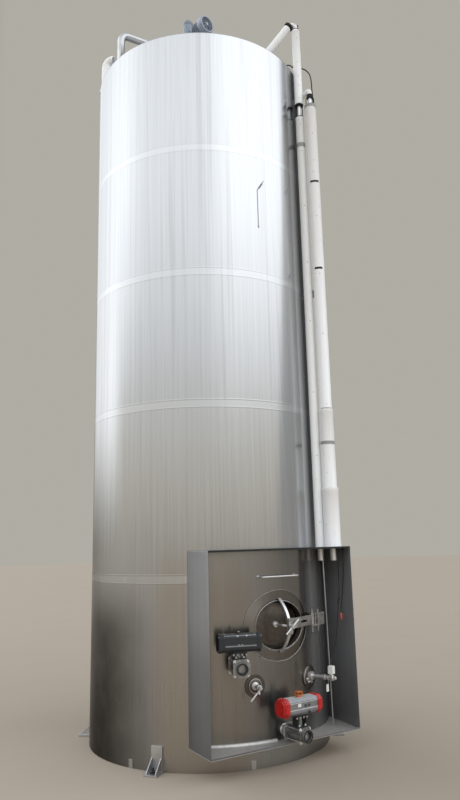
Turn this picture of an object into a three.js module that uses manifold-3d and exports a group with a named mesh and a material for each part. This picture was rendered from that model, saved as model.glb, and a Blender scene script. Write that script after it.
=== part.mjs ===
// Vertical insulated stainless storage tank with an alcove at its foot.
// Millimetres, +Z up. The origin is the centre of the base, and the alcove faces -Y.
// Azimuths are in degrees from -Y towards +X.

import * as THREE from 'three';
import { mergeVertices } from 'three/addons/utils/BufferGeometryUtils.js';
import Module from 'manifold-3d';

const wasm = await Module();
wasm.setup();

// Tank body
const TANK_RADIUS = 1100;
const WALL_THICKNESS = 78;
const INNER_RADIUS = TANK_RADIUS - WALL_THICKNESS;
const FACETS = 64;
const FLOOR_THICKNESS = 80;
const SEAM_HEIGHTS = [1487, 2913, 4114, 5335];
const RIM_HEIGHT = 6550;
const RIM_LIP = 12;
const ROOF_RISE = 150;
const ROOF_THICKNESS = 80;
const FRONT_WALL_AZIMUTH = 45;
const GAP = 0.3;

// Alcove of folded plate in front of the wall. A wing runs from its root on the wall to the front.
const ALCOVE_FRONT = 1237;
const ALCOVE_FRONT_HALF_WIDTH = 732;
const LEFT_ROOT = { x: -700, depth: 848.5 };
const RIGHT_ROOT = { x: 804.5, depth: 750 };
const ALCOVE_FLOOR = 180;
const ALCOVE_TOP = 1669;
const PLATE = 4;

// Manway
const MANWAY_X = 25;
const MANWAY_Z = 1060;
const MANWAY_FACE = 1106;
const MANWAY_RING = { halfWidth: 330, halfHeight: 284 };
const MANWAY_PLUG = { halfWidth: 262, halfHeight: 216 };
const MANWAY_BORE = { halfWidth: 235, halfHeight: 191 };
const MANWAY_SEAT = { halfWidth: 196, halfHeight: 156 };
const MANWAY_SEAT_PLANE = 1012;
const MANWAY_BACK_PLANE = 996;
const DOOR_HALF_WIDTH = 211;
const DOOR_HALF_HEIGHT = 179;
const SEAT_GAP = 1;
const STUD_RADIUS = 9;
const YOKE_CREST = 1250;
const YOKE_HALF_LENGTH = 215;
const YOKE_WIDTH = 26;
const HINGE_X = 333;
const HINGE_Y = -1155;
const HINGE_Z = 1085;
const HINGE_PIN_RADIUS = 8;
const ARM_HEIGHT = 80;
const ARM_THICKNESS = 10;

// Fittings in the alcove: azimuth, height
const UPPER_VALVE = { azimuth: -20.4, z: 797 };
const UPPER_ACTUATOR_Z = 978;
const SAMPLE_VALVE = { azimuth: -11.5, z: 612 };
const SENSOR = { azimuth: 19.5, z: 618 };
const OUTLET = { azimuth: 2.2, z: 256 };
const OUTLET_ACTUATOR_Z = 468;
const VALVE_CENTRE_RADIUS = 1295;

// Pipes beside the wall
const LINE_RADIUS = 19;
const CLEANING_PIPE = { x: 593, y: -998, jacket: 43.5 };
const OVERFLOW_PIPE = { x: 652, y: -1102, jacket: 57.5, middleJacket: 65, lowerJacket: 75, top: 6275 };
const STUB_RADIUS = 28;
const STUB_END = 1560;
const DRAIN_RADIUS = 6.5;
const JACKET_FOOT = ALCOVE_TOP + PLATE;

// Anchor chairs round the base
const CHAIR_AZIMUTHS = [-53, 53, 127, -127];

const paint = (color, roughness, metalness) =>
  new THREE.MeshStandardMaterial({ color, roughness, metalness });
const STEEL = paint(0xb9bcbe, 0.35, 0.9);
const DULL_STEEL = paint(0x8d9194, 0.5, 0.8);
const POLISHED = paint(0xd0d2d4, 0.18, 1);
const WHITE_JACKET = paint(0xe8eaec, 0.6, 0);
const MOTOR_PAINT = paint(0x8b98ad, 0.5, 0.1);
const BLACK_COAT = paint(0x23262a, 0.5, 0.1);
const RED_CAP = paint(0xbe1e1e, 0.4, 0);
const GREY_COAT = paint(0x7f858b, 0.4, 0.3);
const ORANGE = paint(0xc8702f, 0.5, 0);
const BLACK_RUBBER = paint(0x17181a, 0.7, 0);
const WHITE_PLASTIC = paint(0xe6e6e4, 0.5, 0);
const PINK_CAP = paint(0xc0453f, 0.5, 0);

const radians = THREE.MathUtils.degToRad;
const group = new THREE.Group();

// Solids

function solid(geometry) {
  const bare = geometry.clone();
  bare.deleteAttribute('normal');
  bare.deleteAttribute('uv');
  const merged = mergeVertices(bare, 1e-3);
  const index = merged.index.array;
  const triangles = [];
  for (let i = 0; i < index.length; i += 3) {
    const [a, b, c] = [index[i], index[i + 1], index[i + 2]];
    if (a !== b && b !== c && c !== a) triangles.push(a, b, c);
  }
  const vertProperties = new Float32Array(merged.attributes.position.array);
  const triVerts = new Uint32Array(triangles);
  return new wasm.Manifold(new wasm.Mesh({ numProp: 3, vertProperties, triVerts }));
}

function geometryOf(body) {
  const { vertProperties, triVerts } = body.getMesh();
  const geometry = new THREE.BufferGeometry();
  geometry.setAttribute('position', new THREE.BufferAttribute(new Float32Array(vertProperties), 3));
  geometry.setIndex(new THREE.BufferAttribute(new Uint32Array(triVerts), 1));
  geometry.computeVertexNormals();
  return geometry;
}

function place(name, material, body, azimuth = 0) {
  const mesh = new THREE.Mesh(geometryOf(body), material);
  mesh.name = name;
  mesh.rotation.z = radians(azimuth);
  group.add(mesh);
}

const joined = (first, ...others) => others.reduce((sum, part) => sum.add(part), first);

function shapeOf(points) {
  return new THREE.Shape(points.map(([x, y]) => new THREE.Vector2(x, y)));
}

function prism(shape, low, high) {
  const geometry = new THREE.ExtrudeGeometry(shape, { depth: high - low, bevelEnabled: false });
  return solid(geometry.translate(0, 0, low));
}

// An outline in X and Z, extruded from a front plane to a back plane along Y
function prismAlongY(shape, front, back) {
  const geometry = new THREE.ExtrudeGeometry(shape, { depth: back - front, bevelEnabled: false });
  return solid(geometry.rotateX(Math.PI / 2).translate(0, back, 0));
}

// An outline in Y and Z, extruded along X
function prismAlongX(shape, left, right) {
  const geometry = new THREE.ExtrudeGeometry(shape, { depth: right - left, bevelEnabled: false });
  const turn = new THREE.Matrix4().set(0, 0, 1, left, 1, 0, 0, 0, 0, 1, 0, 0, 0, 0, 0, 1);
  return solid(geometry.applyMatrix4(turn));
}

function block(low, high) {
  const [width, depth, height] = low.map((value, axis) => high[axis] - value);
  const geometry = new THREE.BoxGeometry(width, depth, height);
  return solid(geometry.translate(low[0] + width / 2, low[1] + depth / 2, low[2] + height / 2));
}

function upright(radius, x, y, low, high, sides = 16) {
  const geometry = new THREE.CylinderGeometry(radius, radius, high - low, sides);
  return solid(geometry.rotateX(Math.PI / 2).translate(x, y, (low + high) / 2));
}

// A round bar along Y between two distances in front of the tank's axis
function spoke(radius, x, z, inner, outer, sides = 16) {
  const geometry = new THREE.CylinderGeometry(radius, radius, outer - inner, sides);
  return solid(geometry.translate(x, -(inner + outer) / 2, z));
}

function crossbar(radius, left, right, y, z, sides = 16) {
  const geometry = new THREE.CylinderGeometry(radius, radius, right - left, sides);
  return solid(geometry.rotateZ(-Math.PI / 2).translate((left + right) / 2, y, z));
}

function oval({ halfWidth, halfHeight }, x, z, points = 40) {
  const outline = [];
  for (let i = 0; i < points; i += 1) {
    const angle = (2 * Math.PI * i) / points;
    outline.push([x + halfWidth * Math.cos(angle), z + halfHeight * Math.sin(angle)]);
  }
  return shapeOf(outline);
}

const around = (azimuth, radius) =>
  [radius * Math.sin(radians(azimuth)), -radius * Math.cos(radians(azimuth))];

function arc(radius, from, to) {
  const step = 360 / FACETS;
  const points = [];
  const count = Math.round(Math.abs(to - from) / step);
  for (let i = 0; i <= count; i += 1) points.push(around(from + ((to - from) * i) / count, radius));
  return points;
}

// A piece of the round wall between two azimuths
function wallSector(from, to, low, high) {
  const outline = [...arc(TANK_RADIUS, from, to), ...arc(INNER_RADIUS, to, from)];
  return prism(shapeOf(outline), low, high);
}

function wallRing(low, high) {
  const shape = shapeOf(arc(TANK_RADIUS, 0, 360).slice(0, -1));
  shape.holes.push(shapeOf(arc(INNER_RADIUS, 0, 360).slice(0, -1)));
  return prism(shape, low, high);
}

// The whole tank as one body, turned to cut what is seated on the wall
function tankBody(radius, azimuth = 0) {
  const outline = arc(radius, 0, 360).slice(0, -1);
  const geometry = new THREE.ExtrudeGeometry(shapeOf(outline), { depth: 7000, bevelEnabled: false });
  return solid(geometry.translate(0, 0, -100).rotateZ(-radians(azimuth)));
}

const seated = (body, azimuth = 0) => body.subtract(tankBody(TANK_RADIUS + GAP, azimuth));

// Pipes: straight runs with round bends

class StationPath extends THREE.Curve {
  constructor(stations) {
    super();
    this.stations = stations;
  }

  getPoint(t, target = new THREE.Vector3()) {
    const place = t * (this.stations.length - 1);
    const first = Math.min(Math.floor(place), this.stations.length - 2);
    return target.lerpVectors(this.stations[first], this.stations[first + 1], place - first);
  }

  getPointAt(u, target) {
    return this.getPoint(u, target);
  }

  getTangentAt(u, target = new THREE.Vector3()) {
    const last = this.stations.length - 1;
    const here = Math.round(u * last);
    const before = this.stations[Math.max(here - 1, 0)];
    const after = this.stations[Math.min(here + 1, last)];
    const arriving = this.stations[here].clone().sub(before).normalize();
    const leaving = after.clone().sub(this.stations[here]).normalize();
    return target.copy(arriving).add(leaving).normalize();
  }
}

function bentStations(points, bend, bendSteps) {
  const corners = points.map((point) => new THREE.Vector3(...point));
  const stations = [corners[0]];
  for (let i = 1; i < corners.length - 1; i += 1) {
    const arriving = corners[i].clone().sub(corners[i - 1]).normalize();
    const leaving = corners[i + 1].clone().sub(corners[i]).normalize();
    const turn = arriving.angleTo(leaving);
    const setback = bend * Math.tan(turn / 2);
    const start = corners[i].clone().addScaledVector(arriving, -setback);
    const inward = leaving.clone().addScaledVector(arriving, -leaving.dot(arriving)).normalize();
    for (let k = 0; k <= bendSteps; k += 1) {
      const angle = (turn * k) / bendSteps;
      stations.push(start.clone()
        .addScaledVector(arriving, bend * Math.sin(angle))
        .addScaledVector(inward, bend * (1 - Math.cos(angle))));
    }
  }
  stations.push(corners[corners.length - 1]);
  return stations;
}

function sweep(stations, radius, sides) {
  const section = new THREE.Shape(new THREE.Path().absarc(0, 0, radius, 0, 2 * Math.PI).getPoints(sides / 2)
    .slice(0, -1));
  const path = new StationPath(stations);
  const geometry = new THREE.ExtrudeGeometry(section, {
    steps: stations.length - 1,
    bevelEnabled: false,
    extrudePath: path,
  });
  return solid(geometry);
}

function pipe(points, radius, bend, sides = 14, bendSteps = 5) {
  return sweep(bentStations(points, bend, bendSteps), radius, sides);
}

function cord(points, radius, steps = 30) {
  const curve = new THREE.CatmullRomCurve3(points.map((point) => new THREE.Vector3(...point)));
  return sweep(curve.getSpacedPoints(steps), radius, 8);
}

// Tank floor, walls and roof

const floorOutline = arc(INNER_RADIUS - GAP, 0, 360).slice(0, -1);
place('tank_floor', STEEL, prism(shapeOf(floorOutline), 0, FLOOR_THICKNESS));

const plugLeft = MANWAY_X - MANWAY_PLUG.halfWidth - GAP;
const plugRight = MANWAY_X + MANWAY_PLUG.halfWidth + GAP;
const plugLow = MANWAY_Z - MANWAY_PLUG.halfHeight - GAP;
const plugHigh = MANWAY_Z + MANWAY_PLUG.halfHeight + GAP;

function frontWall(xLow, xHigh, zLow, zHigh) {
  const front = wallSector(-FRONT_WALL_AZIMUTH, FRONT_WALL_AZIMUTH, 0, SEAM_HEIGHTS[0]);
  return front.intersect(block([xLow, -TANK_RADIUS - 50, zLow], [xHigh, 0, zHigh]));
}

place('front_wall_left', STEEL, frontWall(-TANK_RADIUS, plugLeft, -50, SEAM_HEIGHTS[0] + 50));
place('front_wall_right', STEEL, frontWall(plugRight, TANK_RADIUS, -50, SEAM_HEIGHTS[0] + 50));
place('front_wall_over_manway', STEEL, frontWall(plugLeft, plugRight, plugHigh, SEAM_HEIGHTS[0] + 50));
place('front_wall_under_manway', STEEL, frontWall(plugLeft, plugRight, -50, plugLow));
place('lower_wall_right', STEEL, wallSector(FRONT_WALL_AZIMUTH, 180, 0, SEAM_HEIGHTS[0]));
place('lower_wall_left', STEEL, wallSector(180, 360 - FRONT_WALL_AZIMUTH, 0, SEAM_HEIGHTS[0]));

const courseTops = [...SEAM_HEIGHTS.slice(1), RIM_HEIGHT - RIM_LIP];
courseTops.forEach((top, i) => {
  place(`shell_course_${i + 2}`, STEEL, wallRing(SEAM_HEIGHTS[i], top));
});

function turned(profile, sides) {
  const points = profile.map(([radius, height]) => new THREE.Vector2(radius, height));
  return new THREE.LatheGeometry(points, sides).rotateX(Math.PI / 2);
}

const roofUnderside = RIM_HEIGHT - ROOF_THICKNESS;
place('roof', STEEL, solid(turned([
  [0, roofUnderside + ROOF_RISE],
  [INNER_RADIUS - GAP, roofUnderside],
  [INNER_RADIUS - GAP, RIM_HEIGHT - RIM_LIP],
  [TANK_RADIUS, RIM_HEIGHT - RIM_LIP],
  [TANK_RADIUS, RIM_HEIGHT],
  [0, RIM_HEIGHT + ROOF_RISE],
], FACETS)));

const roofCutter = solid(turned([
  [0, RIM_HEIGHT - 600],
  [TANK_RADIUS + GAP, RIM_HEIGHT - 600],
  [TANK_RADIUS + GAP, RIM_HEIGHT + GAP],
  [0, RIM_HEIGHT + ROOF_RISE + GAP],
], FACETS));
const onRoof = (body) => body.subtract(roofCutter);

// Agitator drive on the roof. The gearbox stands on the stand, and the motor lies beside its axis.

const DRIVE = { x: -367, y: -391, azimuth: 12, base: 6860, axis: 6980, offset: 26 };

const driveStand = joined(
  upright(150, DRIVE.x, DRIVE.y, 6560, 6665, 32),
  upright(54, DRIVE.x, DRIVE.y, 6600, DRIVE.base, 24),
  upright(80, DRIVE.x, DRIVE.y, DRIVE.base - 18, DRIVE.base, 24),
);
place('agitator_stand', STEEL, onRoof(driveStand));

function placeDrive(name, material, body) {
  const mesh = new THREE.Mesh(geometryOf(body), material);
  mesh.name = name;
  mesh.position.set(DRIVE.x, DRIVE.y, 0);
  mesh.rotation.z = radians(DRIVE.azimuth);
  group.add(mesh);
}

const GEARBOX = { radius: 52, top: 7130, crown: 7152, crownRadius: 38 };
const MOTOR = { start: 89, cowl: 200, end: 271, radius: 76, cowlRadius: 90 };
placeDrive('agitator_gearbox', MOTOR_PAINT, joined(
  upright(60, 0, 0, DRIVE.base + GAP, DRIVE.base + 16, 24),
  upright(GEARBOX.radius, 0, 0, DRIVE.base + 15, GEARBOX.top, 24),
  upright(GEARBOX.crownRadius, 0, 0, GEARBOX.top - 1, GEARBOX.crown, 24),
  spoke(44, DRIVE.offset, DRIVE.axis, -40, 60, 24),
  spoke(36, DRIVE.offset, DRIVE.axis, 59, MOTOR.start, 24),
));
placeDrive('agitator_motor', MOTOR_PAINT, joined(
  spoke(MOTOR.radius, DRIVE.offset, DRIVE.axis, MOTOR.start + GAP, MOTOR.cowl, 28),
  spoke(MOTOR.cowlRadius, DRIVE.offset, DRIVE.axis, MOTOR.cowl - 1, MOTOR.end, 28),
));

// Vent and loop pipe on the roof. The vent's mouth points across the roof and a little down.

const VENT = { x: -972, y: 354, radius: 50, wall: 6, corner: 6936, bend: 70 };
const VENT_REACH = { x: 56, y: -65.5, z: -18 };
function ventBend(radius, foot, reach) {
  const mouth = [
    VENT.x + reach * VENT_REACH.x,
    VENT.y + reach * VENT_REACH.y,
    VENT.corner + reach * VENT_REACH.z,
  ];
  return pipe([[VENT.x, VENT.y, foot], [VENT.x, VENT.y, VENT.corner], mouth], radius, VENT.bend, 16);
}
const ventOuter = ventBend(VENT.radius, 6540, 1);
const ventBore = ventBend(VENT.radius - VENT.wall, 6620, 1.2);
place('roof_vent', WHITE_JACKET, onRoof(ventOuter.subtract(ventBore)));

const LOOP = { x: -993, y: -82, farX: -520, farY: -105, top: 6950, radius: 38, bend: 80 };
place('roof_loop_pipe', STEEL, onRoof(pipe([
  [LOOP.x, LOOP.y, 6545],
  [LOOP.x, LOOP.y, LOOP.top],
  [LOOP.farX, LOOP.farY, LOOP.top],
  [LOOP.farX, LOOP.farY, 6560],
], LOOP.radius, LOOP.bend)));

// Cleaning pipe: up from the roof, over the rim, down the wall and into the alcove

const BRANCH_FOOT = new THREE.Vector3(234, -770, 6600);
const BRANCH_CORNER = new THREE.Vector3(CLEANING_PIPE.x, CLEANING_PIPE.y, 7165);
const BRANCH_RADIUS = 40;
const BRANCH_JACKET_END = 140;
const BRANCH_PIPE_START = BRANCH_JACKET_END + 30;
const ELBOW_BEND = 38;
const branchDirection = BRANCH_CORNER.clone().sub(BRANCH_FOOT).normalize();
const belowCorner = (distance) => BRANCH_CORNER.clone().addScaledVector(branchDirection, -distance);
const BRANCH_LENGTH = BRANCH_CORNER.distanceTo(BRANCH_FOOT);

function lineStub(centre) {
  return upright(STUB_RADIUS, centre.x, centre.y, STUB_END, ALCOVE_TOP - GAP);
}

place('cleaning_pipe', POLISHED, joined(
  pipe([
    belowCorner(BRANCH_PIPE_START).toArray(),
    BRANCH_CORNER.toArray(),
    [CLEANING_PIPE.x, CLEANING_PIPE.y, STUB_END],
  ], LINE_RADIUS, ELBOW_BEND, 14, 7),
  lineStub(CLEANING_PIPE),
));

const branchSkin = onRoof(sweep([
  belowCorner(BRANCH_LENGTH + 60),
  belowCorner(BRANCH_JACKET_END),
], BRANCH_RADIUS, 20));
const branchBore = sweep([
  belowCorner(BRANCH_PIPE_START + GAP),
  belowCorner(BRANCH_JACKET_END - 20),
], LINE_RADIUS + 2 * GAP, 16);
place('roof_branch_jacket', WHITE_JACKET, branchSkin.subtract(branchBore));

function jacket(centre, radius, low, high) {
  const skin = upright(radius, centre.x, centre.y, low, high, 24);
  return skin.subtract(upright(LINE_RADIUS + 2 * GAP, centre.x, centre.y, low - 10, high + 10));
}

place('cleaning_jacket_upper', WHITE_JACKET, jacket(CLEANING_PIPE, CLEANING_PIPE.jacket, 6140, 7030));
place('cleaning_jacket', WHITE_JACKET, jacket(CLEANING_PIPE, CLEANING_PIPE.jacket, JACKET_FOOT, 5990));

// Overflow pipe: out of the wall near the top and down into the alcove

place('overflow_pipe', POLISHED, joined(
  seated(pipe([
    [690, -790, OVERFLOW_PIPE.top],
    [OVERFLOW_PIPE.x, OVERFLOW_PIPE.y, OVERFLOW_PIPE.top],
    [OVERFLOW_PIPE.x, OVERFLOW_PIPE.y, STUB_END],
  ], LINE_RADIUS, 57)),
  lineStub(OVERFLOW_PIPE),
));
const WIDE_JACKET_TOP = 2200;
const MIDDLE_JACKET_TOP = 2930;
const OVERFLOW_JACKET_TOP = 6092;
place('overflow_jacket', WHITE_JACKET, joined(
  jacket(OVERFLOW_PIPE, OVERFLOW_PIPE.jacket, MIDDLE_JACKET_TOP - 1, OVERFLOW_JACKET_TOP),
  jacket(OVERFLOW_PIPE, OVERFLOW_PIPE.middleJacket, WIDE_JACKET_TOP, MIDDLE_JACKET_TOP),
));
place('overflow_jacket_lower', WHITE_JACKET,
  jacket(OVERFLOW_PIPE, OVERFLOW_PIPE.lowerJacket, JACKET_FOOT, WIDE_JACKET_TOP));

// Clip behind both pipes that ties them to the wall

const CLIP_Z = 4085;
const CLIP_HEIGHT = 40;
const clipPlate = prism(shapeOf([
  [600, -915],
  [665, -868],
  [745, -1010],
  [733, -1078],
  [684, -1083],
  [634, -1022],
]), CLIP_Z, CLIP_Z + CLIP_HEIGHT);
const clipHoles = [CLEANING_PIPE, OVERFLOW_PIPE].map((centre) =>
  upright(centre.jacket + GAP, centre.x, centre.y, CLIP_Z - 10, CLIP_Z + CLIP_HEIGHT + 10, 24));
place('pipe_clip', STEEL, seated(clipPlate.subtract(clipHoles[0]).subtract(clipHoles[1])));

// Alcove plates

// Every plate starts this deep behind its root, so that the round wall trims its edge.
const ROOT_OVERRUN = 60;

// A wing's outer face at some depth in front of the tank's axis
function wingX(root, depth) {
  const frontX = Math.sign(root.x) * ALCOVE_FRONT_HALF_WIDTH;
  return root.x + ((frontX - root.x) * (depth - root.depth)) / (ALCOVE_FRONT - root.depth);
}

function wing(root) {
  const start = root.depth - ROOT_OVERRUN;
  const inward = -Math.sign(root.x) * PLATE;
  const outline = [
    [wingX(root, start), -start],
    [wingX(root, ALCOVE_FRONT), -ALCOVE_FRONT],
    [wingX(root, ALCOVE_FRONT) + inward, -ALCOVE_FRONT],
    [wingX(root, start) + inward, -start],
  ];
  return seated(prism(shapeOf(outline), ALCOVE_FLOOR, ALCOVE_TOP));
}

function alcoveDeck(low) {
  const [left, right] = [LEFT_ROOT, RIGHT_ROOT].map((root) => root.depth - ROOT_OVERRUN);
  const outline = [
    [wingX(LEFT_ROOT, left), -left],
    [-ALCOVE_FRONT_HALF_WIDTH, -ALCOVE_FRONT],
    [ALCOVE_FRONT_HALF_WIDTH, -ALCOVE_FRONT],
    [wingX(RIGHT_ROOT, right), -right],
  ];
  return seated(prism(shapeOf(outline), low, low + PLATE));
}

place('alcove_left_wing', DULL_STEEL, wing(LEFT_ROOT));
place('alcove_right_wing', DULL_STEEL, wing(RIGHT_ROOT));

const deckHoles = [CLEANING_PIPE, OVERFLOW_PIPE].map(({ x, y }) =>
  upright(LINE_RADIUS + 2 * GAP, x, y, ALCOVE_TOP - 10, ALCOVE_TOP + 20));
place('alcove_top_plate', DULL_STEEL,
  deckHoles.reduce((deck, hole) => deck.subtract(hole), alcoveDeck(ALCOVE_TOP)));
place('alcove_tray', DULL_STEEL, alcoveDeck(ALCOVE_FLOOR - PLATE));

// Thin tube that drains the cleaning pipe's end into the tray
place('drain_tube', POLISHED, sweep([
  new THREE.Vector3(CLEANING_PIPE.x + 20, CLEANING_PIPE.y - 2, STUB_END - GAP),
  new THREE.Vector3(CLEANING_PIPE.x + 47, CLEANING_PIPE.y - 2, ALCOVE_FLOOR + GAP),
], DRAIN_RADIUS, 10));

// Grab bar over the manway

const GRAB_BAR_Z = 1452;
place('grab_bar', POLISHED, seated(pipe([
  [-165, -1060, GRAB_BAR_Z],
  [-165, -1150, GRAB_BAR_Z],
  [215, -1150, GRAB_BAR_Z],
  [215, -1050, GRAB_BAR_Z],
], 8, 22, 12, 4)));

// Manway frame: flat oval ring, neck through the wall and seat

const ringBody = seated(prismAlongY(oval(MANWAY_RING, MANWAY_X, MANWAY_Z), -MANWAY_FACE, -1000));
const plugBody = block(
  [MANWAY_X - MANWAY_PLUG.halfWidth, -MANWAY_FACE, MANWAY_Z - MANWAY_PLUG.halfHeight],
  [MANWAY_X + MANWAY_PLUG.halfWidth, -MANWAY_BACK_PLANE, MANWAY_Z + MANWAY_PLUG.halfHeight],
).intersect(prismAlongY(oval(MANWAY_RING, MANWAY_X, MANWAY_Z), -MANWAY_FACE - 10, -900)
  .add(block([-400, -1060, 700], [400, -900, 1400])));
const neckBore = prismAlongY(oval(MANWAY_BORE, MANWAY_X, MANWAY_Z), -MANWAY_FACE - 20, -MANWAY_SEAT_PLANE);
const seatBore = prismAlongY(oval(MANWAY_SEAT, MANWAY_X, MANWAY_Z), -MANWAY_SEAT_PLANE - 20, -900);
place('manway_frame', STEEL, ringBody.add(plugBody).subtract(neckBore).subtract(seatBore));

// Dished door with its stud

function dishedDoor() {
  const profile = [[0, 12], [90, 9], [150, 0], [179, 0], [179, 13], [150, 15], [80, 24], [0, 26]];
  const geometry = turned(profile, 32);
  geometry.rotateX(Math.PI / 2);
  geometry.scale(DOOR_HALF_WIDTH / 179, 1, DOOR_HALF_HEIGHT / 179);
  return solid(geometry.translate(MANWAY_X, -MANWAY_SEAT_PLANE - SEAT_GAP, MANWAY_Z));
}

place('manway_door', STEEL, joined(
  dishedDoor(),
  spoke(24, MANWAY_X, MANWAY_Z, 1034, 1058),
  spoke(STUD_RADIUS, MANWAY_X, MANWAY_Z, 1050, 1300, 16),
));

// Bowed yoke across the opening

function yokeOutline() {
  const outer = [];
  const inner = [];
  const foot = MANWAY_FACE + SEAT_GAP;
  for (let i = 0; i <= 12; i += 1) {
    const t = (2 * i) / 12 - 1;
    const z = MANWAY_Z + YOKE_HALF_LENGTH * t;
    const bow = 1 - t * t;
    outer.push([-(foot + 14 + (YOKE_CREST - foot - 14) * bow), z]);
    inner.push([-(foot + (YOKE_CREST - foot - 24) * bow), z]);
  }
  return shapeOf([...outer, ...inner.reverse()]);
}
place('manway_yoke', STEEL,
  prismAlongX(yokeOutline(), MANWAY_X - YOKE_WIDTH / 2, MANWAY_X + YOKE_WIDTH / 2)
    .subtract(spoke(STUD_RADIUS + GAP, MANWAY_X, MANWAY_Z, 1150, 1300)));

// Hinge arm from the stud to the hinge pin, and its bracket on the wall

const armLow = HINGE_Z - ARM_HEIGHT / 2;
const armHigh = HINGE_Z + ARM_HEIGHT / 2;
const eyeFace = YOKE_CREST + GAP;
const ARM_SLOT = { left: 160, right: 240, radius: 9 };
const armSlot = joined(
  block(
    [ARM_SLOT.left, -1300, HINGE_Z - ARM_SLOT.radius],
    [ARM_SLOT.right, -1150, HINGE_Z + ARM_SLOT.radius],
  ),
  spoke(ARM_SLOT.radius, ARM_SLOT.left, HINGE_Z, 1150, 1300),
  spoke(ARM_SLOT.radius, ARM_SLOT.right, HINGE_Z, 1150, 1300),
);
const armStrap = prism(shapeOf([
  [MANWAY_X - 20, -eyeFace - ARM_THICKNESS],
  [MANWAY_X - 20, -eyeFace],
  [MANWAY_X + 60, -eyeFace],
  [HINGE_X, HINGE_Y + 6],
  [HINGE_X, HINGE_Y - 6],
  [MANWAY_X + 63, -eyeFace - ARM_THICKNESS],
]), armLow, armHigh);
place('manway_hinge_arm', STEEL, joined(
  armStrap,
  block([MANWAY_X - 20, -eyeFace - ARM_THICKNESS, MANWAY_Z - 60], [MANWAY_X + 20, -eyeFace, MANWAY_Z + 62]),
  upright(17, HINGE_X, HINGE_Y, armLow, armHigh, 24),
).subtract(armSlot)
  .subtract(spoke(STUD_RADIUS + GAP, MANWAY_X, MANWAY_Z, 1200, 1300))
  .subtract(upright(HINGE_PIN_RADIUS + 1, HINGE_X, HINGE_Y, armLow - 5, armHigh + 5)));

const LUG = 8;
const LUG_GAP = 2;
const lugLow = armLow - LUG_GAP - LUG;
const lugHigh = armHigh + LUG_GAP + LUG;
const BRACKET_PLATE = 8;
const SECOND_PIN = { x: HINGE_X + 64, radius: 6 };
const PLATE_END = { x: HINGE_X + 165, y: -1108 };
const CHEEK = { left: HINGE_X + 76, right: HINGE_X + 88, back: -950 };
const lugOutline = shapeOf([
  [HINGE_X - 20, HINGE_Y - 12],
  [HINGE_X - 8, HINGE_Y - 20],
  [HINGE_X + 74, HINGE_Y - 12],
  [CHEEK.right, -1080],
  [CHEEK.right, CHEEK.back],
  [HINGE_X + 30, CHEEK.back],
  [HINGE_X + 30, -MANWAY_FACE - 4],
  [HINGE_X - 20, -MANWAY_FACE - 4],
]);
const frontPlate = prism(shapeOf([
  [HINGE_X + 26, HINGE_Y + 5 - BRACKET_PLATE],
  [PLATE_END.x, PLATE_END.y - BRACKET_PLATE],
  [PLATE_END.x, PLATE_END.y],
  [HINGE_X + 26, HINGE_Y + 5],
]), lugLow, lugHigh);
const plateHole = spoke(7, HINGE_X + 140, HINGE_Z + 22, 1050, 1200);
place('manway_hinge_bracket', DULL_STEEL, seated(joined(
  prism(lugOutline, armHigh + LUG_GAP, lugHigh),
  prism(lugOutline, lugLow, armLow - LUG_GAP),
  block([CHEEK.left, HINGE_Y + 20, lugLow], [CHEEK.right, CHEEK.back, lugHigh]),
  frontPlate.subtract(plateHole),
  upright(HINGE_PIN_RADIUS, HINGE_X, HINGE_Y, lugLow - 50, lugHigh + 36),
  upright(SECOND_PIN.radius, SECOND_PIN.x, HINGE_Y, lugLow - 50, lugHigh + 30),
)));

// Handle that screws along the stud

const handleStart = eyeFace + ARM_THICKNESS + 1;
const HANDLE_SLOPE = 40;
function handleBar() {
  const upRight = new THREE.CylinderGeometry(8, 8, 170, 14).rotateX(Math.PI / 2);
  upRight.rotateY(radians(90 - HANDLE_SLOPE));
  return solid(upRight.translate(MANWAY_X, -handleStart - 22, MANWAY_Z));
}
place('manway_handle', POLISHED, joined(
  spoke(17, MANWAY_X, MANWAY_Z, handleStart, handleStart + 38),
  handleBar(),
).subtract(spoke(STUD_RADIUS + 1, MANWAY_X, MANWAY_Z, handleStart - 5, handleStart + 60)));

// Upper valve with its black actuator

function actuatorSection(halfDepth, halfHeight, chamfer, centreRadius, z) {
  return shapeOf([
    [-centreRadius - halfDepth, z - halfHeight + chamfer],
    [-centreRadius - halfDepth + chamfer, z - halfHeight],
    [-centreRadius + halfDepth - chamfer, z - halfHeight],
    [-centreRadius + halfDepth, z - halfHeight + chamfer],
    [-centreRadius + halfDepth, z + halfHeight - chamfer],
    [-centreRadius + halfDepth - chamfer, z + halfHeight],
    [-centreRadius - halfDepth + chamfer, z + halfHeight],
    [-centreRadius - halfDepth, z + halfHeight - chamfer],
  ]);
}

function ballValve(z, start, end, portRadius, boreRadius, flange, topZ) {
  const centre = VALVE_CENTRE_RADIUS;
  const body = joined(
    block([-flange, -start - 16, z - flange], [flange, -start, z + flange]),
    spoke(flange * 0.82, 0, z, start + 10, end - 40, 24),
    block([-flange, -end + 40 - 16, z - flange], [flange, -end + 40, z + flange]),
    spoke(portRadius, 0, z, end - 41, end, 24),
    upright(20, 0, -centre, z, topZ, 20),
    block([-38, -centre - 30, topZ - 26], [38, -centre + 30, topZ]),
    block([-30, -centre - 24, z + 30], [-20, -centre + 24, topZ]),
    block([20, -centre - 24, z + 30], [30, -centre + 24, topZ]),
  );
  return body.subtract(spoke(boreRadius, 0, z, end - 90, end + 10, 24));
}

function nozzle(z, tubeRadius, flangeRadius, end, azimuth) {
  return seated(joined(
    spoke(tubeRadius, 0, z, 1060, end, 24),
    spoke(flangeRadius, 0, z, end - 20, end, 28),
  ), azimuth);
}

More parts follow.
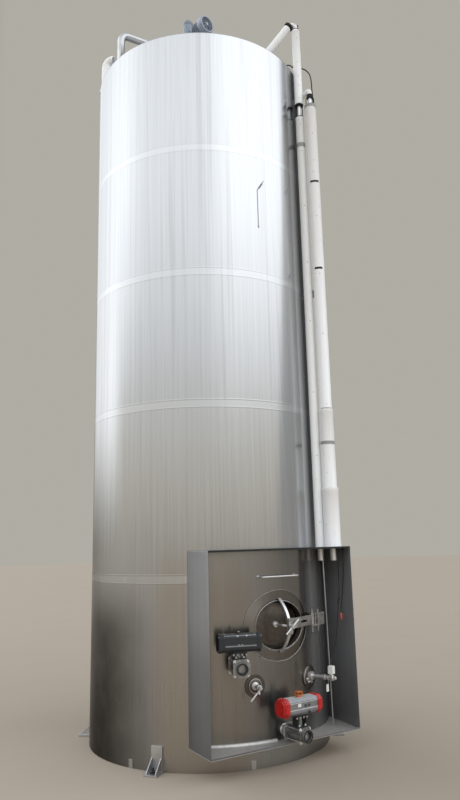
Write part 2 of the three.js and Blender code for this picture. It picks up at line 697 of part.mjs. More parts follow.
const UPPER_NOZZLE_END = 1190;
const UPPER_PORT_END = 1405;
const UPPER_CAP = { inner: 138, outer: 170 };
place('upper_nozzle', STEEL, nozzle(UPPER_VALVE.z, 32, 62, UPPER_NOZZLE_END, UPPER_VALVE.azimuth),
  UPPER_VALVE.azimuth);
place('upper_valve', STEEL, ballValve(UPPER_VALVE.z, UPPER_NOZZLE_END + GAP, UPPER_PORT_END, 47, 33, 70,
  UPPER_ACTUATOR_Z - 70), UPPER_VALVE.azimuth);
const upperCapSection = actuatorSection(64, 69, 24, VALVE_CENTRE_RADIUS, UPPER_ACTUATOR_Z);
place('upper_actuator', BLACK_COAT, joined(
  prismAlongX(actuatorSection(60, 66, 22, VALVE_CENTRE_RADIUS, UPPER_ACTUATOR_Z), -144, 144),
  prismAlongX(upperCapSection, -UPPER_CAP.outer, -UPPER_CAP.inner),
  prismAlongX(upperCapSection, UPPER_CAP.inner, UPPER_CAP.outer),
  block([-42, -VALVE_CENTRE_RADIUS - 40, UPPER_ACTUATOR_Z - 70 + GAP],
    [42, -VALVE_CENTRE_RADIUS + 40, UPPER_ACTUATOR_Z - 40]),
  upright(22, 0, -VALVE_CENTRE_RADIUS, UPPER_ACTUATOR_Z + 60, UPPER_ACTUATOR_Z + 78),
), UPPER_VALVE.azimuth);

// Sample valve

const SAMPLE_FACE = 1212;
place('sample_valve', POLISHED, seated(joined(
  spoke(62, 0, SAMPLE_VALVE.z, 1070, 1112, 24),
  spoke(24, 0, SAMPLE_VALVE.z, 1110, 1126, 20),
  spoke(15, 0, SAMPLE_VALVE.z, 1120, SAMPLE_FACE, 20),
  spoke(21, 0, SAMPLE_VALVE.z, 1165, 1200, 20),
  upright(10, 0, -1182, SAMPLE_VALVE.z - 48, SAMPLE_VALVE.z),
  spoke(6, 0, SAMPLE_VALVE.z, SAMPLE_FACE - 1, SAMPLE_FACE + 18, 16),
), SAMPLE_VALVE.azimuth), SAMPLE_VALVE.azimuth);

const LEVER_LENGTH = 125;
function sampleLever() {
  const bar = new THREE.BoxGeometry(16, 6, LEVER_LENGTH).translate(0, 0, -LEVER_LENGTH / 2);
  bar.rotateY(radians(45));
  return solid(bar.translate(0, -SAMPLE_FACE - 8, SAMPLE_VALVE.z));
}
place('sample_valve_lever', POLISHED, joined(
  sampleLever(),
  spoke(13, 0, SAMPLE_VALVE.z, SAMPLE_FACE + 1, SAMPLE_FACE + 15),
).subtract(spoke(7, 0, SAMPLE_VALVE.z, SAMPLE_FACE - 5, SAMPLE_FACE + 30, 16)), SAMPLE_VALVE.azimuth);

// Sensor port

const SENSOR_HEAD = 1302;
place('sensor_port', POLISHED, seated(joined(
  spoke(76, 0, SENSOR.z, 1060, 1112, 24),
  spoke(34, 0, SENSOR.z, 1110, 1140, 24),
  spoke(15, 0, SENSOR.z, 1138, SENSOR_HEAD, 20),
  spoke(21, 0, SENSOR.z, 1240, 1262, 20),
), SENSOR.azimuth), SENSOR.azimuth);
place('sensor_head', POLISHED, joined(
  spoke(22, 0, SENSOR.z, SENSOR_HEAD + GAP, SENSOR_HEAD + 36, 20),
  spoke(14, 0, SENSOR.z, SENSOR_HEAD + 34, SENSOR_HEAD + 58, 20),
  upright(12, 0, -SENSOR_HEAD - 18, SENSOR.z, SENSOR.z + 32),
), SENSOR.azimuth);
place('sensor_box', WHITE_PLASTIC, block(
  [-22, -SENSOR_HEAD - 40, SENSOR.z + 32 + GAP],
  [22, -SENSOR_HEAD + 4, SENSOR.z + 98],
), SENSOR.azimuth);

// Outlet valve with its grey and red actuator

const OUTLET_NOZZLE_END = 1178;
const OUTLET_PORT_END = 1392;
place('outlet_nozzle', STEEL, nozzle(OUTLET.z, 38, 66, OUTLET_NOZZLE_END, OUTLET.azimuth), OUTLET.azimuth);
place('outlet_valve', STEEL, ballValve(OUTLET.z, OUTLET_NOZZLE_END + GAP, OUTLET_PORT_END, 48, 36, 60,
  OUTLET_ACTUATOR_Z - 68), OUTLET.azimuth);
place('outlet_actuator', GREY_COAT, joined(
  prismAlongX(actuatorSection(62, 62, 20, VALVE_CENTRE_RADIUS, OUTLET_ACTUATOR_Z), -132, 132),
  block([-42, -VALVE_CENTRE_RADIUS - 40, OUTLET_ACTUATOR_Z - 68 + GAP],
    [42, -VALVE_CENTRE_RADIUS + 40, OUTLET_ACTUATOR_Z - 40]),
), OUTLET.azimuth);
for (const [name, side] of [['outlet_actuator_left_cap', -1], ['outlet_actuator_right_cap', 1]]) {
  const near = 132 + GAP;
  const far = 199;
  const [left, right] = side < 0 ? [-far, -near] : [near, far];
  place(name, RED_CAP,
    prismAlongX(actuatorSection(70, 70, 30, VALVE_CENTRE_RADIUS, OUTLET_ACTUATOR_Z), left, right),
    OUTLET.azimuth);
}
place('outlet_indicator', ORANGE, joined(
  upright(20, 0, -VALVE_CENTRE_RADIUS, OUTLET_ACTUATOR_Z + 62 + GAP, OUTLET_ACTUATOR_Z + 75),
  block([-25, -VALVE_CENTRE_RADIUS - 22, OUTLET_ACTUATOR_Z + 74],
    [25, -VALVE_CENTRE_RADIUS + 22, OUTLET_ACTUATOR_Z + 104]),
), OUTLET.azimuth);

// Anchor chairs

const CHAIR = { width: 116, backWidth: 95, height: 190, gussetTop: 112, reach: 130, plate: 12, gusset: 8 };
function anchorChair(azimuth) {
  const front = -TANK_RADIUS - CHAIR.reach;
  const gussetOutline = shapeOf([
    [-1060, 0],
    [front + 14, 0],
    [front + 14, 16],
    [-TANK_RADIUS - 16, CHAIR.gussetTop],
    [-1060, CHAIR.gussetTop],
  ]);
  const gussetAt = (x) => prismAlongX(gussetOutline, x - CHAIR.gusset / 2, x + CHAIR.gusset / 2);
  return seated(joined(
    block([-CHAIR.width / 2, front, 0], [CHAIR.width / 2, -1060, CHAIR.plate]),
    block([-CHAIR.backWidth / 2, -TANK_RADIUS - 14, 0], [CHAIR.backWidth / 2, -1060, CHAIR.height]),
    gussetAt(-CHAIR.backWidth / 2 + 8),
    gussetAt(CHAIR.backWidth / 2 - 8),
  ), azimuth);
}
CHAIR_AZIMUTHS.forEach((azimuth, i) => {
  place(`anchor_chair_${i + 1}`, STEEL, anchorChair(azimuth), azimuth);
});

// Cables

const CABLE_RADIUS = 4;
const TOP_CABLE_RADIUS = 6;
const boxTop = around(SENSOR.azimuth, SENSOR_HEAD + 18);
place('sensor_cable', BLACK_RUBBER, cord([
  [691, -1120, ALCOVE_TOP - 1],
  [688, -1120, 1560],
  [684.5, -1120, 1430],
  [676.5, -1120, 1266],
  [658, -1125, 1182],
  [614, -1140, 970],
  [533, -1180, 786],
  [460, -1235, 762],
  [boxTop[0], boxTop[1], SENSOR.z + 122],
  [boxTop[0], boxTop[1], SENSOR.z + 98 + 2 * GAP],
], CABLE_RADIUS, 40));
const SPARE_END = { x: 703, y: -1104, z: 1107 };
place('spare_cable', BLACK_RUBBER, cord([
  [727, -1140, ALCOVE_TOP - 1],
  [728.5, -1138, 1560],
  [728, -1130, 1422],
  [711, -1118, 1240],
  [SPARE_END.x + 0.5, SPARE_END.y - 0.5, SPARE_END.z + 30],
  [SPARE_END.x, SPARE_END.y, SPARE_END.z],
], CABLE_RADIUS, 18));
place('spare_cable_cap', PINK_CAP,
  upright(11, SPARE_END.x, SPARE_END.y, SPARE_END.z - 65, SPARE_END.z - GAP, 16));

// The top cable rises from the roof beside the branch and goes down into the overflow jacket's top.
place('top_cable', BLACK_RUBBER, onRoof(cord([
  [430, -900, 6545],
  [455, -935, 6570],
  [487, -958, 6594],
  [535, -960, 6606],
  [590, -940, 6613],
  [648, -962, 6622],
  [700, -995, 6598],
  [728, -1026, 6540],
  [729, -1048, 6455],
  [712, -1074, 6320],
  [697, -1098, 6200],
  [690.5, -1105.5, 6120],
  [690, -1106, OVERFLOW_JACKET_TOP + 2 * GAP],
], TOP_CABLE_RADIUS, 40)));

export default group;
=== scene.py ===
"""Finishes and fine pieces of a tall insulated storage tank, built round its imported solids."""

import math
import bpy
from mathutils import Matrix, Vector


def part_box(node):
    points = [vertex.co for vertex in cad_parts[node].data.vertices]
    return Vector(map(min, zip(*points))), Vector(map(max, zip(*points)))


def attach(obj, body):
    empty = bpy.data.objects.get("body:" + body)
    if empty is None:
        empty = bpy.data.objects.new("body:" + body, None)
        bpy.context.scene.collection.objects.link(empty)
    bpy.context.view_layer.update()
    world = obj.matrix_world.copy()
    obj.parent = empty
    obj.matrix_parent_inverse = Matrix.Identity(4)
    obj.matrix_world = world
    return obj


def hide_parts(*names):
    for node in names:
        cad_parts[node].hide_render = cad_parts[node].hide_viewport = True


bl_info = {
    "name": "Insulated Storage Tank",
    "version": (1, 0, 0),
    "blender": (4, 5, 0),
    "location": "View3D > Sidebar > Tank",
    "description": "Dresses a stainless storage tank: sheet skin, pipes, manway, valves and cables",
    "category": "Add Mesh",
}

from functools import partial
from itertools import product

import bmesh
import bpy
from bpy.props import FloatProperty, FloatVectorProperty, IntProperty, PointerProperty
from mathutils import Matrix, Vector

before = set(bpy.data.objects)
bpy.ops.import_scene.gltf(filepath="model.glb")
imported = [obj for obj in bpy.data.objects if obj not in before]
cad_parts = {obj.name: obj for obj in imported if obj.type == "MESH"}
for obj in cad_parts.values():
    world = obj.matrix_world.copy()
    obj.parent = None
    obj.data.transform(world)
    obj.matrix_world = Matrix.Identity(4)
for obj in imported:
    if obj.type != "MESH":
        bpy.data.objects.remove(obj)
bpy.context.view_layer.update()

# Small sizes in metres: the gap between touching pieces, how far the lowest weld is under its course's
# joint, and the height of the roof's rim
CLEARANCE = 0.0003
WELD_DROP = 0.035
RIM_HEIGHT = 0.012

# Sizes taken from the frame, in metres
TANK_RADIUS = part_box("roof")[1].x
INNER_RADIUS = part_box("tank_floor")[1].x + CLEARANCE
SEAM_HEIGHTS = [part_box(f"shell_course_{number}")[0].z for number in (2, 3, 4, 5)]
WELD_HEIGHTS = [SEAM_HEIGHTS[0] - WELD_DROP, *SEAM_HEIGHTS[1:]]
SHELL_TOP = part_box("shell_course_5")[1].z
RIM_TOP = SHELL_TOP + RIM_HEIGHT
ROOF_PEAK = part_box("roof")[1].z
ALCOVE_LOW, ALCOVE_HIGH = [corner.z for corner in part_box("alcove_left_wing")]
ALCOVE_FRONT = -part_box("alcove_tray")[0].y

# Distances out from the tank's axis, in metres: where fittings start inside the wall, the stems of the
# ball valves, the feet of the manway's stud and handle, and the probe's head
BURIED = 1.06
VALVE_CENTRE = 1.295
STUD_FOOT, HANDLE_FOOT = 1.034, 1.2613
PROBE_HEAD = 1.302

# Places that the pieces share, in metres and degrees. A wing's root is its x and its depth before the axis.
LEFT_ROOT, RIGHT_ROOT = (-0.700, 0.8485), (0.8045, 0.750)
ALCOVE_FRONT_HALF_WIDTH = 0.732
MANWAY_X, MANWAY_Z = 0.025, 1.060
MANWAY_RING = (0.330, 0.284)
NECK = (0.262, 0.216)
MANWAY_BORE = (0.235, 0.191)
LINE_RADIUS = 0.019
CLEANING_PLACE, OVERFLOW_PLACE = (0.593, -0.998), (0.652, -1.102)
CLEANING_JACKET, OVERFLOW_JACKET = 0.0435, 0.0575
BRANCH_FOOT, BRANCH_CORNER = Vector((0.234, -0.770, 6.600)), Vector((0.593, -0.998, 7.165))
VENT_PLACE = (-0.972, 0.354)
LOOP_FEET = ((-0.993, -0.082), (-0.520, -0.105))
DRIVE_PLACE, DRIVE_AZIMUTH, DRIVE_AXIS = (-0.367, -0.391), 12, 6.980
MOTOR_OFFSET, MOTOR_START = 0.026, 0.0893
CHAIR_AZIMUTHS = [-53, 53, 127, -127]
TAB_AZIMUTHS = [-66, -13, 90, 180]

# Azimuth in degrees and height of each fitting on the wall, and the heights of the two actuators
UPPER_VALVE, OUTLET = (-20.4, 0.797), (2.2, 0.256)
SAMPLE_VALVE, SENSOR = (-11.5, 0.612), (19.5, 0.618)
UPPER_DRIVE_HEIGHT, OUTLET_DRIVE_HEIGHT = 0.978, 0.468

# The angle in degrees from which an edge is sharp, and the names and directions that recur
SHARP = 38
BODY = "tank"
ON_WALL = "on the wall"
ORIGIN, UP, DOWN, OUTWARD = (0, 0, 0), (0, 0, 1), (0, 0, -1), (0, -1, 0)

# The photograph's viewpoint, the direction across it and those of the sky's dim and bright sides
CAMERA_PLACE = (-3.500, -5.895, 1.751)
CAMERA_AHEAD = (0.531, 0.823, 0.201)
CAMERA_RIGHT = (0.843, -0.538, -0.023)
CAMERA_LENS = 30.87
FACING_ACROSS = (0.843, -0.538, 0.0)
FRONT_DIRECTION = (-0.883, -0.469)
LEFT_DIRECTION = (-0.375, 0.927)

# The side of the wall whose foot gets painted shade, standing in for the dark surroundings that side reflects
SHADE_SIDE = (-0.940, 0.342)

# The scrape on the front: its upright line's x, foot and top
SCRAPE_X, SCRAPE_FOOT, SCRAPE_TOP = -0.047, 4.593, 4.962


# Shader maths


class Link:
    """A shader output that takes part in sums: each operator adds a Math node."""

    def __init__(self, finish, socket):
        self.finish = finish
        self.socket = socket

    def _math(self, operation, *values, clamp=False):
        settings = {"operation": operation, "use_clamp": clamp}
        return self.finish.node("ShaderNodeMath", settings, dict(enumerate(values)))["Value"]

    def __add__(self, other):
        return self._math("ADD", self, other)

    def __sub__(self, other):
        return self._math("SUBTRACT", self, other)

    def __rsub__(self, other):
        return self._math("SUBTRACT", other, self)

    def __mul__(self, other):
        return self._math("MULTIPLY", self, other)

    def __truediv__(self, other):
        return self._math("DIVIDE", self, other)

    def __pow__(self, other):
        return self._math("POWER", self, other)

    def __abs__(self):
        return self._math("ABSOLUTE", self)

    __radd__ = __add__
    __rmul__ = __mul__

    def clamped(self):
        return self._math("ADD", self, 0.0, clamp=True)

    def over(self, low, high):
        """Goes smoothly from 0 at low to 1 at high."""
        settings = {"interpolation_type": "SMOOTHSTEP"}
        values = {"Value": self, "From Min": low, "From Max": high}
        return self.finish.node("ShaderNodeMapRange", settings, values)["Result"]

    def under(self, low, high):
        """Goes smoothly from 1 at low to 0 at high."""
        return 1 - self.over(low, high)

    def band(self, centre, half_width, softness):
        """1 within half_width of centre, falling to 0 over softness."""
        return abs(self - centre).under(half_width, half_width + softness)


class Added:
    """A node in a finish, whose outputs are read by name or number."""

    def __init__(self, finish, node):
        self.finish = finish
        self.node = node

    def __getitem__(self, key):
        return Link(self.finish, self.node.outputs[key])


class Finish:
    """A shader tree under construction, in metres in the frame at rest or in a world's directions."""

    def __init__(self, tree, coordinates="Object"):
        self.tree = tree
        tree.nodes.clear()
        self.place = self.node("ShaderNodeTexCoord")[coordinates]

    def node(self, kind, settings=None, values=None):
        made = self.tree.nodes.new(kind)
        for name, value in (settings or {}).items():
            setattr(made, name, value)
        for key, value in (values or {}).items():
            if isinstance(value, Link):
                self.tree.links.new(value.socket, made.inputs[key])
            else:
                made.inputs[key].default_value = value
        return Added(self, made)

    def split(self):
        parts = self.node("ShaderNodeSeparateXYZ", None, {0: self.place})
        return parts["X"], parts["Y"], parts["Z"]

    def noise(self, scale, detail=3.0, roughness=0.5):
        """Noise at one scale, or stretched by a scale along each axis."""
        place = self.place
        if isinstance(scale, tuple):
            place = self.node("ShaderNodeVectorMath", {"operation": "MULTIPLY"}, {0: place, 1: scale})[0]
            scale = 1.0
        values = {"Vector": place, "Scale": scale, "Detail": detail, "Roughness": roughness}
        return self.node("ShaderNodeTexNoise", None, values)["Fac"]

    def mix(self, factor, first, second):
        return self.node("ShaderNodeMix", {"data_type": "RGBA"}, {0: factor, 6: first, 7: second})[2]

    def ramp(self, value, stops):
        made = self.node("ShaderNodeValToRGB", None, {"Fac": value})
        elements = made.node.color_ramp.elements
        while len(elements) < len(stops):
            elements.new(0.5)
        for element, (position, colour) in zip(elements, stops):
            element.position = position
            element.color = shade(colour)
        return made["Color"]

    def bump(self, height, strength, distance):
        values = {"Height": height, "Strength": strength, "Distance": distance}
        return self.node("ShaderNodeBump", None, values)["Normal"]

    def surface(self, base, rough, metallic=0.0, **others):
        """Ends the tree; the others are the shader's further sockets, by their names without spaces."""
        values = {"Base Color": base, "Roughness": rough, "Metallic": metallic}
        values.update({name.replace("_", " "): value for name, value in others.items()})
        shader = self.node("ShaderNodeBsdfPrincipled", None, values)["BSDF"]
        self.node("ShaderNodeOutputMaterial", None, {"Surface": shader})


def shade(colour, factor=1.0):
    return (*[factor * channel for channel in colour[:3]], 1.0)


def tint(name, factor=1.0):
    """One of the panel's colours, made lighter or darker."""
    return shade(getattr(bpy.context.scene.tank_colours, name), factor)


# Finishes


def scraped(x, height):
    """The scrape high on the front: an upright line with a nick at its foot and a bent hook at its top."""
    aside, above = x - SCRAPE_X, height - SCRAPE_TOP
    length = SCRAPE_TOP - SCRAPE_FOOT
    upright = aside.band(0.0, 0.003, 0.005) * above.band(-0.5 * length, 0.5 * length, 0.005)
    nick = aside.band(0.002, 0.006, 0.005) * above.band(-length, 0.008, 0.005)
    leaning = aside - 0.66 * above
    hook = leaning.band(0.0, 0.004, 0.005) * above.band(0.056, 0.056, 0.005)
    knot = leaning.band(0.002, 0.009, 0.006) * above.band(0.052, 0.026, 0.01)
    return (0.8 * upright + 0.6 * nick + 0.7 * hook + 0.6 * knot).clamped()


def sheet_steel(finish):
    """Brushed sheet of the wall: polish lines, rain runs, ground welds, dirt low down, painted shade in the
    alcove and low on the back left, and a painted brownish reflection low on the front left.
    """
    x, y, height = finish.split()
    lines = finish.noise((70.0, 70.0, 0.7), detail=4.0, roughness=0.6)
    broad = finish.noise((7.0, 7.0, 0.22))
    runs = finish.noise((24.0, 24.0, 0.3), detail=2.0).over(0.52, 0.74)
    cloud = finish.noise(2.2, detail=4.0)
    foot = height.under(0.0, 1.5) * (0.55 + 0.45 * cloud)
    base = finish.mix(lines.over(0.25, 0.75), tint("steel", 0.96), tint("steel", 1.06))
    base = finish.mix(runs * broad * 0.22, base, tint("grime_and_shade", 1.6))
    base = finish.mix(foot * 0.55, base, tint("grime_and_shade"))
    # Painted shade low on the back left: the foot darkens towards that side, standing in for the dark
    # surroundings it reflects
    shade_side_share = (x * SHADE_SIDE[0] + y * SHADE_SIDE[1]) / TANK_RADIUS
    dark = shade_side_share.over(0.4, 1.0) * height.under(0.9, 1.6) * (1 - 0.7 * y.over(0.62, 1.05))
    base = finish.mix(dark * (0.55 + 0.7 * cloud).clamped(), base, tint("grime_and_shade", 0.4))
    depth = 0 - y
    # Painted reflection: a brownish tint low on the front left stands in for brownish surroundings reflected
    # in the sheet
    warm_reflection = x.over(-0.95, -0.80) * x.under(-0.42, -0.10) * depth.over(0.3, 0.6) * height.under(1.3, 1.9)
    base = finish.mix(warm_reflection * 0.45, base, tint("reflected_warmth"))
    # Painted shade inside the alcove: the sheet darkens towards the right and more on the manway's ring,
    # standing in for the shade under the wings and top deck and the dark surroundings reflected there
    shaded_alcove = depth.over(0.745, 0.765) * x.over(-0.702, -0.698) * height.band(0.93, 0.745, 0.01)
    darkest = (0.30 + 0.42 * x.over(-0.6, 0.2)) * (1 - 0.75 * x.over(0.30, 0.46))
    aside, above = (x - MANWAY_X) / MANWAY_RING[0], (height - MANWAY_Z) / MANWAY_RING[1]
    on_ring = (aside * aside + above * above).under(0.97, 1.03)
    base = finish.mix(shaded_alcove * (darkest + 0.16 * on_ring).clamped(), base, tint("grime_and_shade", 0.9))
    ground = sum(height.band(middle, 0.018, 0.018) for middle in WELD_HEIGHTS) * (1 - shaded_alcove)
    base = finish.mix(ground * 0.75, base, tint("steel", 1.14))
    base = finish.mix(scraped(x, height) * depth.over(0.9, 1.0), base, tint("steel", 0.2))
    waves = finish.noise((1.6, 1.6, 1.1), detail=1.0)
    finish.surface(
        base,
        0.15 + 0.09 * lines + 0.07 * runs + 0.14 * foot + 0.03 * ground,
        1 - shaded_alcove * x.over(0.22, 0.56) * 0.32,
        Normal=finish.bump(lines * 0.12 + broad * 0.25 + waves * 6.0, 0.35, 0.0012),
        Specular_Tint=(0.62, 0.62, 0.62, 1.0),
        Anisotropic=0.45,
        Anisotropic_Rotation=0.25,
    )


def dressed_weld(finish):
    """Ground and blasted steel of the weld beads, collars and chairs."""
    lines = finish.noise((8.0, 8.0, 160.0))
    patches = finish.noise((5.0, 5.0, 8.0))
    base = finish.mix(patches.over(0.35, 0.65), tint("steel", 0.9), tint("steel", 1.1))
    rough = 0.3 + 0.12 * lines + 0.08 * patches
    finish.surface(base, rough, 1.0, Normal=finish.bump(lines, 0.2, 0.0006))


def dull_plate(finish):
    """Folded plate of the alcove: dull mill finish with streaks and dust, darker low on its left."""
    x, _, height = finish.split()
    streaks = finish.noise((30.0, 30.0, 0.9), detail=4.0)
    cloud = finish.noise(4.0, detail=5.0)
    base = finish.mix(streaks.over(0.3, 0.7), tint("plate", 0.95), tint("plate", 1.06))
    base = finish.mix(height.under(0.18, 0.8) * cloud * 0.8, base, tint("grime_and_shade"))
    # Darker towards the bottom on the left
    base = finish.mix((0 - x).over(0.0, 0.5) * height.under(0.7, 1.25) * 0.5, base, tint("plate", 0.35))
    rough = 0.34 + 0.10 * streaks + 0.12 * cloud
    finish.surface(base, rough, 0.72, Normal=finish.bump(streaks + cloud * 1.5, 0.15, 0.0008))


def polished_steel(finish):
    """Sanitary fittings: turned and polished, with faint smears."""
    smears = finish.noise(38.0, detail=4.0)
    grain = finish.noise((900.0, 140.0, 900.0), detail=2.0)
    base = finish.mix(smears.over(0.35, 0.7), tint("fitting", 1.04), tint("fitting", 0.8))
    rough = 0.12 + 0.16 * smears + 0.04 * grain
    finish.surface(base, rough, 1.0, Normal=finish.bump(grain, 0.12, 0.0002))


def cast_steel(finish, tone=1.0):
    """Cast and blasted stainless."""
    pits = finish.noise(420.0)
    cloud = finish.noise(30.0, detail=4.0)
    base = finish.mix(cloud.over(0.3, 0.7), tint("fitting", 0.5 * tone), tint("fitting", 0.82 * tone))
    finish.surface(base, 0.34 + 0.2 * cloud, 1.0, Normal=finish.bump(pits, 0.35, 0.0004))


def coated(finish, colour, rough, metallic=0.0, grain=320.0, depth=0.0002, wear=0.12):
    """Paint, plastic or coated metal with a fine grain, dust and faint wear."""
    fine = finish.noise(grain)
    cloud = finish.noise(26.0, detail=5.0)
    base = finish.mix(cloud.over(0.2, 0.8), tint(colour, 0.86), tint(colour, 1.08))
    base = finish.mix(cloud.over(0.55, 0.8) * wear, base, tint("dust"))
    rough = rough + 0.14 * (cloud - 0.5) + 0.06 * fine
    finish.surface(base, rough, metallic, Normal=finish.bump(fine, 0.25, depth))


def jacket_white(finish):
    """White pipe jacket: scuffs, small dents and grey runs."""
    runs = finish.noise((60.0, 60.0, 1.4)).over(0.55, 0.75)
    dents = finish.noise((16.0, 16.0, 7.0))
    scuffs = finish.noise((40.0, 40.0, 11.0), detail=5.0, roughness=0.7).over(0.63, 0.7)
    base = finish.mix(runs * 0.35, tint("jacket"), tint("jacket", 0.68))
    base = finish.mix(scuffs * 0.4, base, tint("jacket", 0.42))
    rough = 0.42 + 0.12 * dents + 0.15 * scuffs
    finish.surface(base, rough, Normal=finish.bump(dents, 0.3, 0.003))


def smooth_floor(finish):
    """Pale studio floor with a faint mottle."""
    base = finish.mix(finish.noise(0.9, detail=6.0), tint("floor", 0.96), tint("floor", 1.04))
    finish.surface(base, 0.85)


# The slot of each finish and what draws it
FINISHES = {
    "sheet_steel": ("shell_steel", sheet_steel),
    "dressed_weld": ("shell_steel", dressed_weld),
    "dull_plate": ("plate_steel", dull_plate),
    "polished_steel": ("polished_steel", polished_steel),
    "cast_steel": ("polished_steel", cast_steel),
    "dark_casting": ("polished_steel", partial(cast_steel, tone=0.8)),
    "jacket_white": ("white_jacket", jacket_white),
    "smooth_floor": ("floor", smooth_floor),
    "machine_paint": ("motor_paint", partial(coated, colour="machine", rough=0.42)),
    "motor_paint": ("motor_paint", partial(coated, colour="motor", rough=0.42)),
    "black_coat": ("black_coat", partial(coated, colour="black", rough=0.4, grain=700.0)),
    "grey_anodised": ("grey_coat", partial(coated, colour="grey", rough=0.34, metallic=0.75, grain=900.0)),
    "red_gloss": ("red_cap", partial(coated, colour="red", rough=0.26, grain=200.0, wear=0.05)),
    "orange_gloss": ("orange_cap", partial(coated, colour="orange", rough=0.4)),
    "black_rubber": ("black_rubber", partial(coated, colour="black", rough=0.6, depth=0.0004)),
    "grey_tape": ("white_jacket", partial(coated, colour="tape", rough=0.5, grain=150.0)),
    "dusty_tray": ("plate_steel", partial(coated, colour="tray", rough=0.55, metallic=0.4, wear=0.3)),
    "bright_strip": ("plate_steel", partial(coated, colour="strip", rough=0.4, metallic=0.3, grain=150.0)),
    "worn_steel": ("polished_steel", partial(coated, colour="worn", rough=0.34, metallic=0.9, wear=0.2)),
    "white_plastic": ("white_plastic", partial(coated, colour="plastic", rough=0.45)),
    "pink_cap": ("pink_cap", partial(coated, colour="pink", rough=0.4)),
}


def finish_named(name):
    material = bpy.data.materials.get(name)
    if material is None:
        material = bpy.data.materials.new(name)
        material.use_nodes = True
        FINISHES[name][1](Finish(material.node_tree))
    return material


def shown(name, data, finish):
    """The object of a mesh or a curve, with its finish."""
    made = bpy.data.objects.new(name, data)
    bpy.context.scene.collection.objects.link(made)
    data.materials.append(finish_named(finish))
    return made


# Shapes


def turned_to(azimuth):
    """The frame of a fitting whose -Y points out of the wall at that azimuth."""
    return Matrix.Rotation(math.radians(azimuth), 4, "Z")


def out_at(azimuth, distance):
    """The x and y at a distance from an upright axis, at an azimuth from the front."""
    turn = math.radians(azimuth)
    return distance * math.sin(turn), -distance * math.cos(turn)


def spokes(count, radius=1.0, offset=0.0):
    """Pairs evenly round a circle, from its first axis or offset by a share of a step."""
    angles = [math.tau * (step + offset) / count for step in range(count)]
    return [(radius * math.cos(angle), radius * math.sin(angle)) for angle in angles]


def bent(points, bend, steps=6):
    """Points along straight runs, with each corner rounded to the bend's radius."""
    corners = [Vector(point) for point in points]
    stations = [corners[0]]
    for before, here, after in zip(corners, corners[1:], corners[2:]):
        arriving = (here - before).normalized()
        leaving = (after - here).normalized()
        angle = arriving.angle(leaving)
        inward = (leaving - arriving * leaving.dot(arriving)).normalized()
        start = here - arriving * bend * math.tan(angle / 2)
        for step in range(steps + 1):
            turn = angle * step / steps
            stations.append(start + bend * (arriving * math.sin(turn) + inward * (1 - math.cos(turn))))
    stations.append(corners[-1])
    return stations


def oval(wide, tall, sides=96):
    """The (x, z) pairs of an oval round the manway's axis."""
    return [(MANWAY_X + wide * x, MANWAY_Z + tall * z) for x, z in spokes(sides)]


def manway_oval(distance, wide, tall):
    """An oval round the manway's axis, flat or just proud of the wall; with no width it is one point."""
    if wide == 0:
        return [(MANWAY_X, -distance, MANWAY_Z)]
    points = []
    for x, z in oval(wide, tall):
        reach = math.sqrt(TANK_RADIUS ** 2 - x ** 2) + 0.006 if distance is ON_WALL else distance
        points.append((x, -reach, z))
    return points


def octagon(half_width, half_height, chamfer):
    """A rectangle with cut corners."""
    corners = []
    for side, top in ((-1, -1), (1, -1), (1, 1), (-1, 1)):
        near = (side * (half_width - chamfer), top * half_height)
        far = (side * half_width, top * (half_height - chamfer))
        corners += [near, far] if side * top < 0 else [far, near]
    return corners


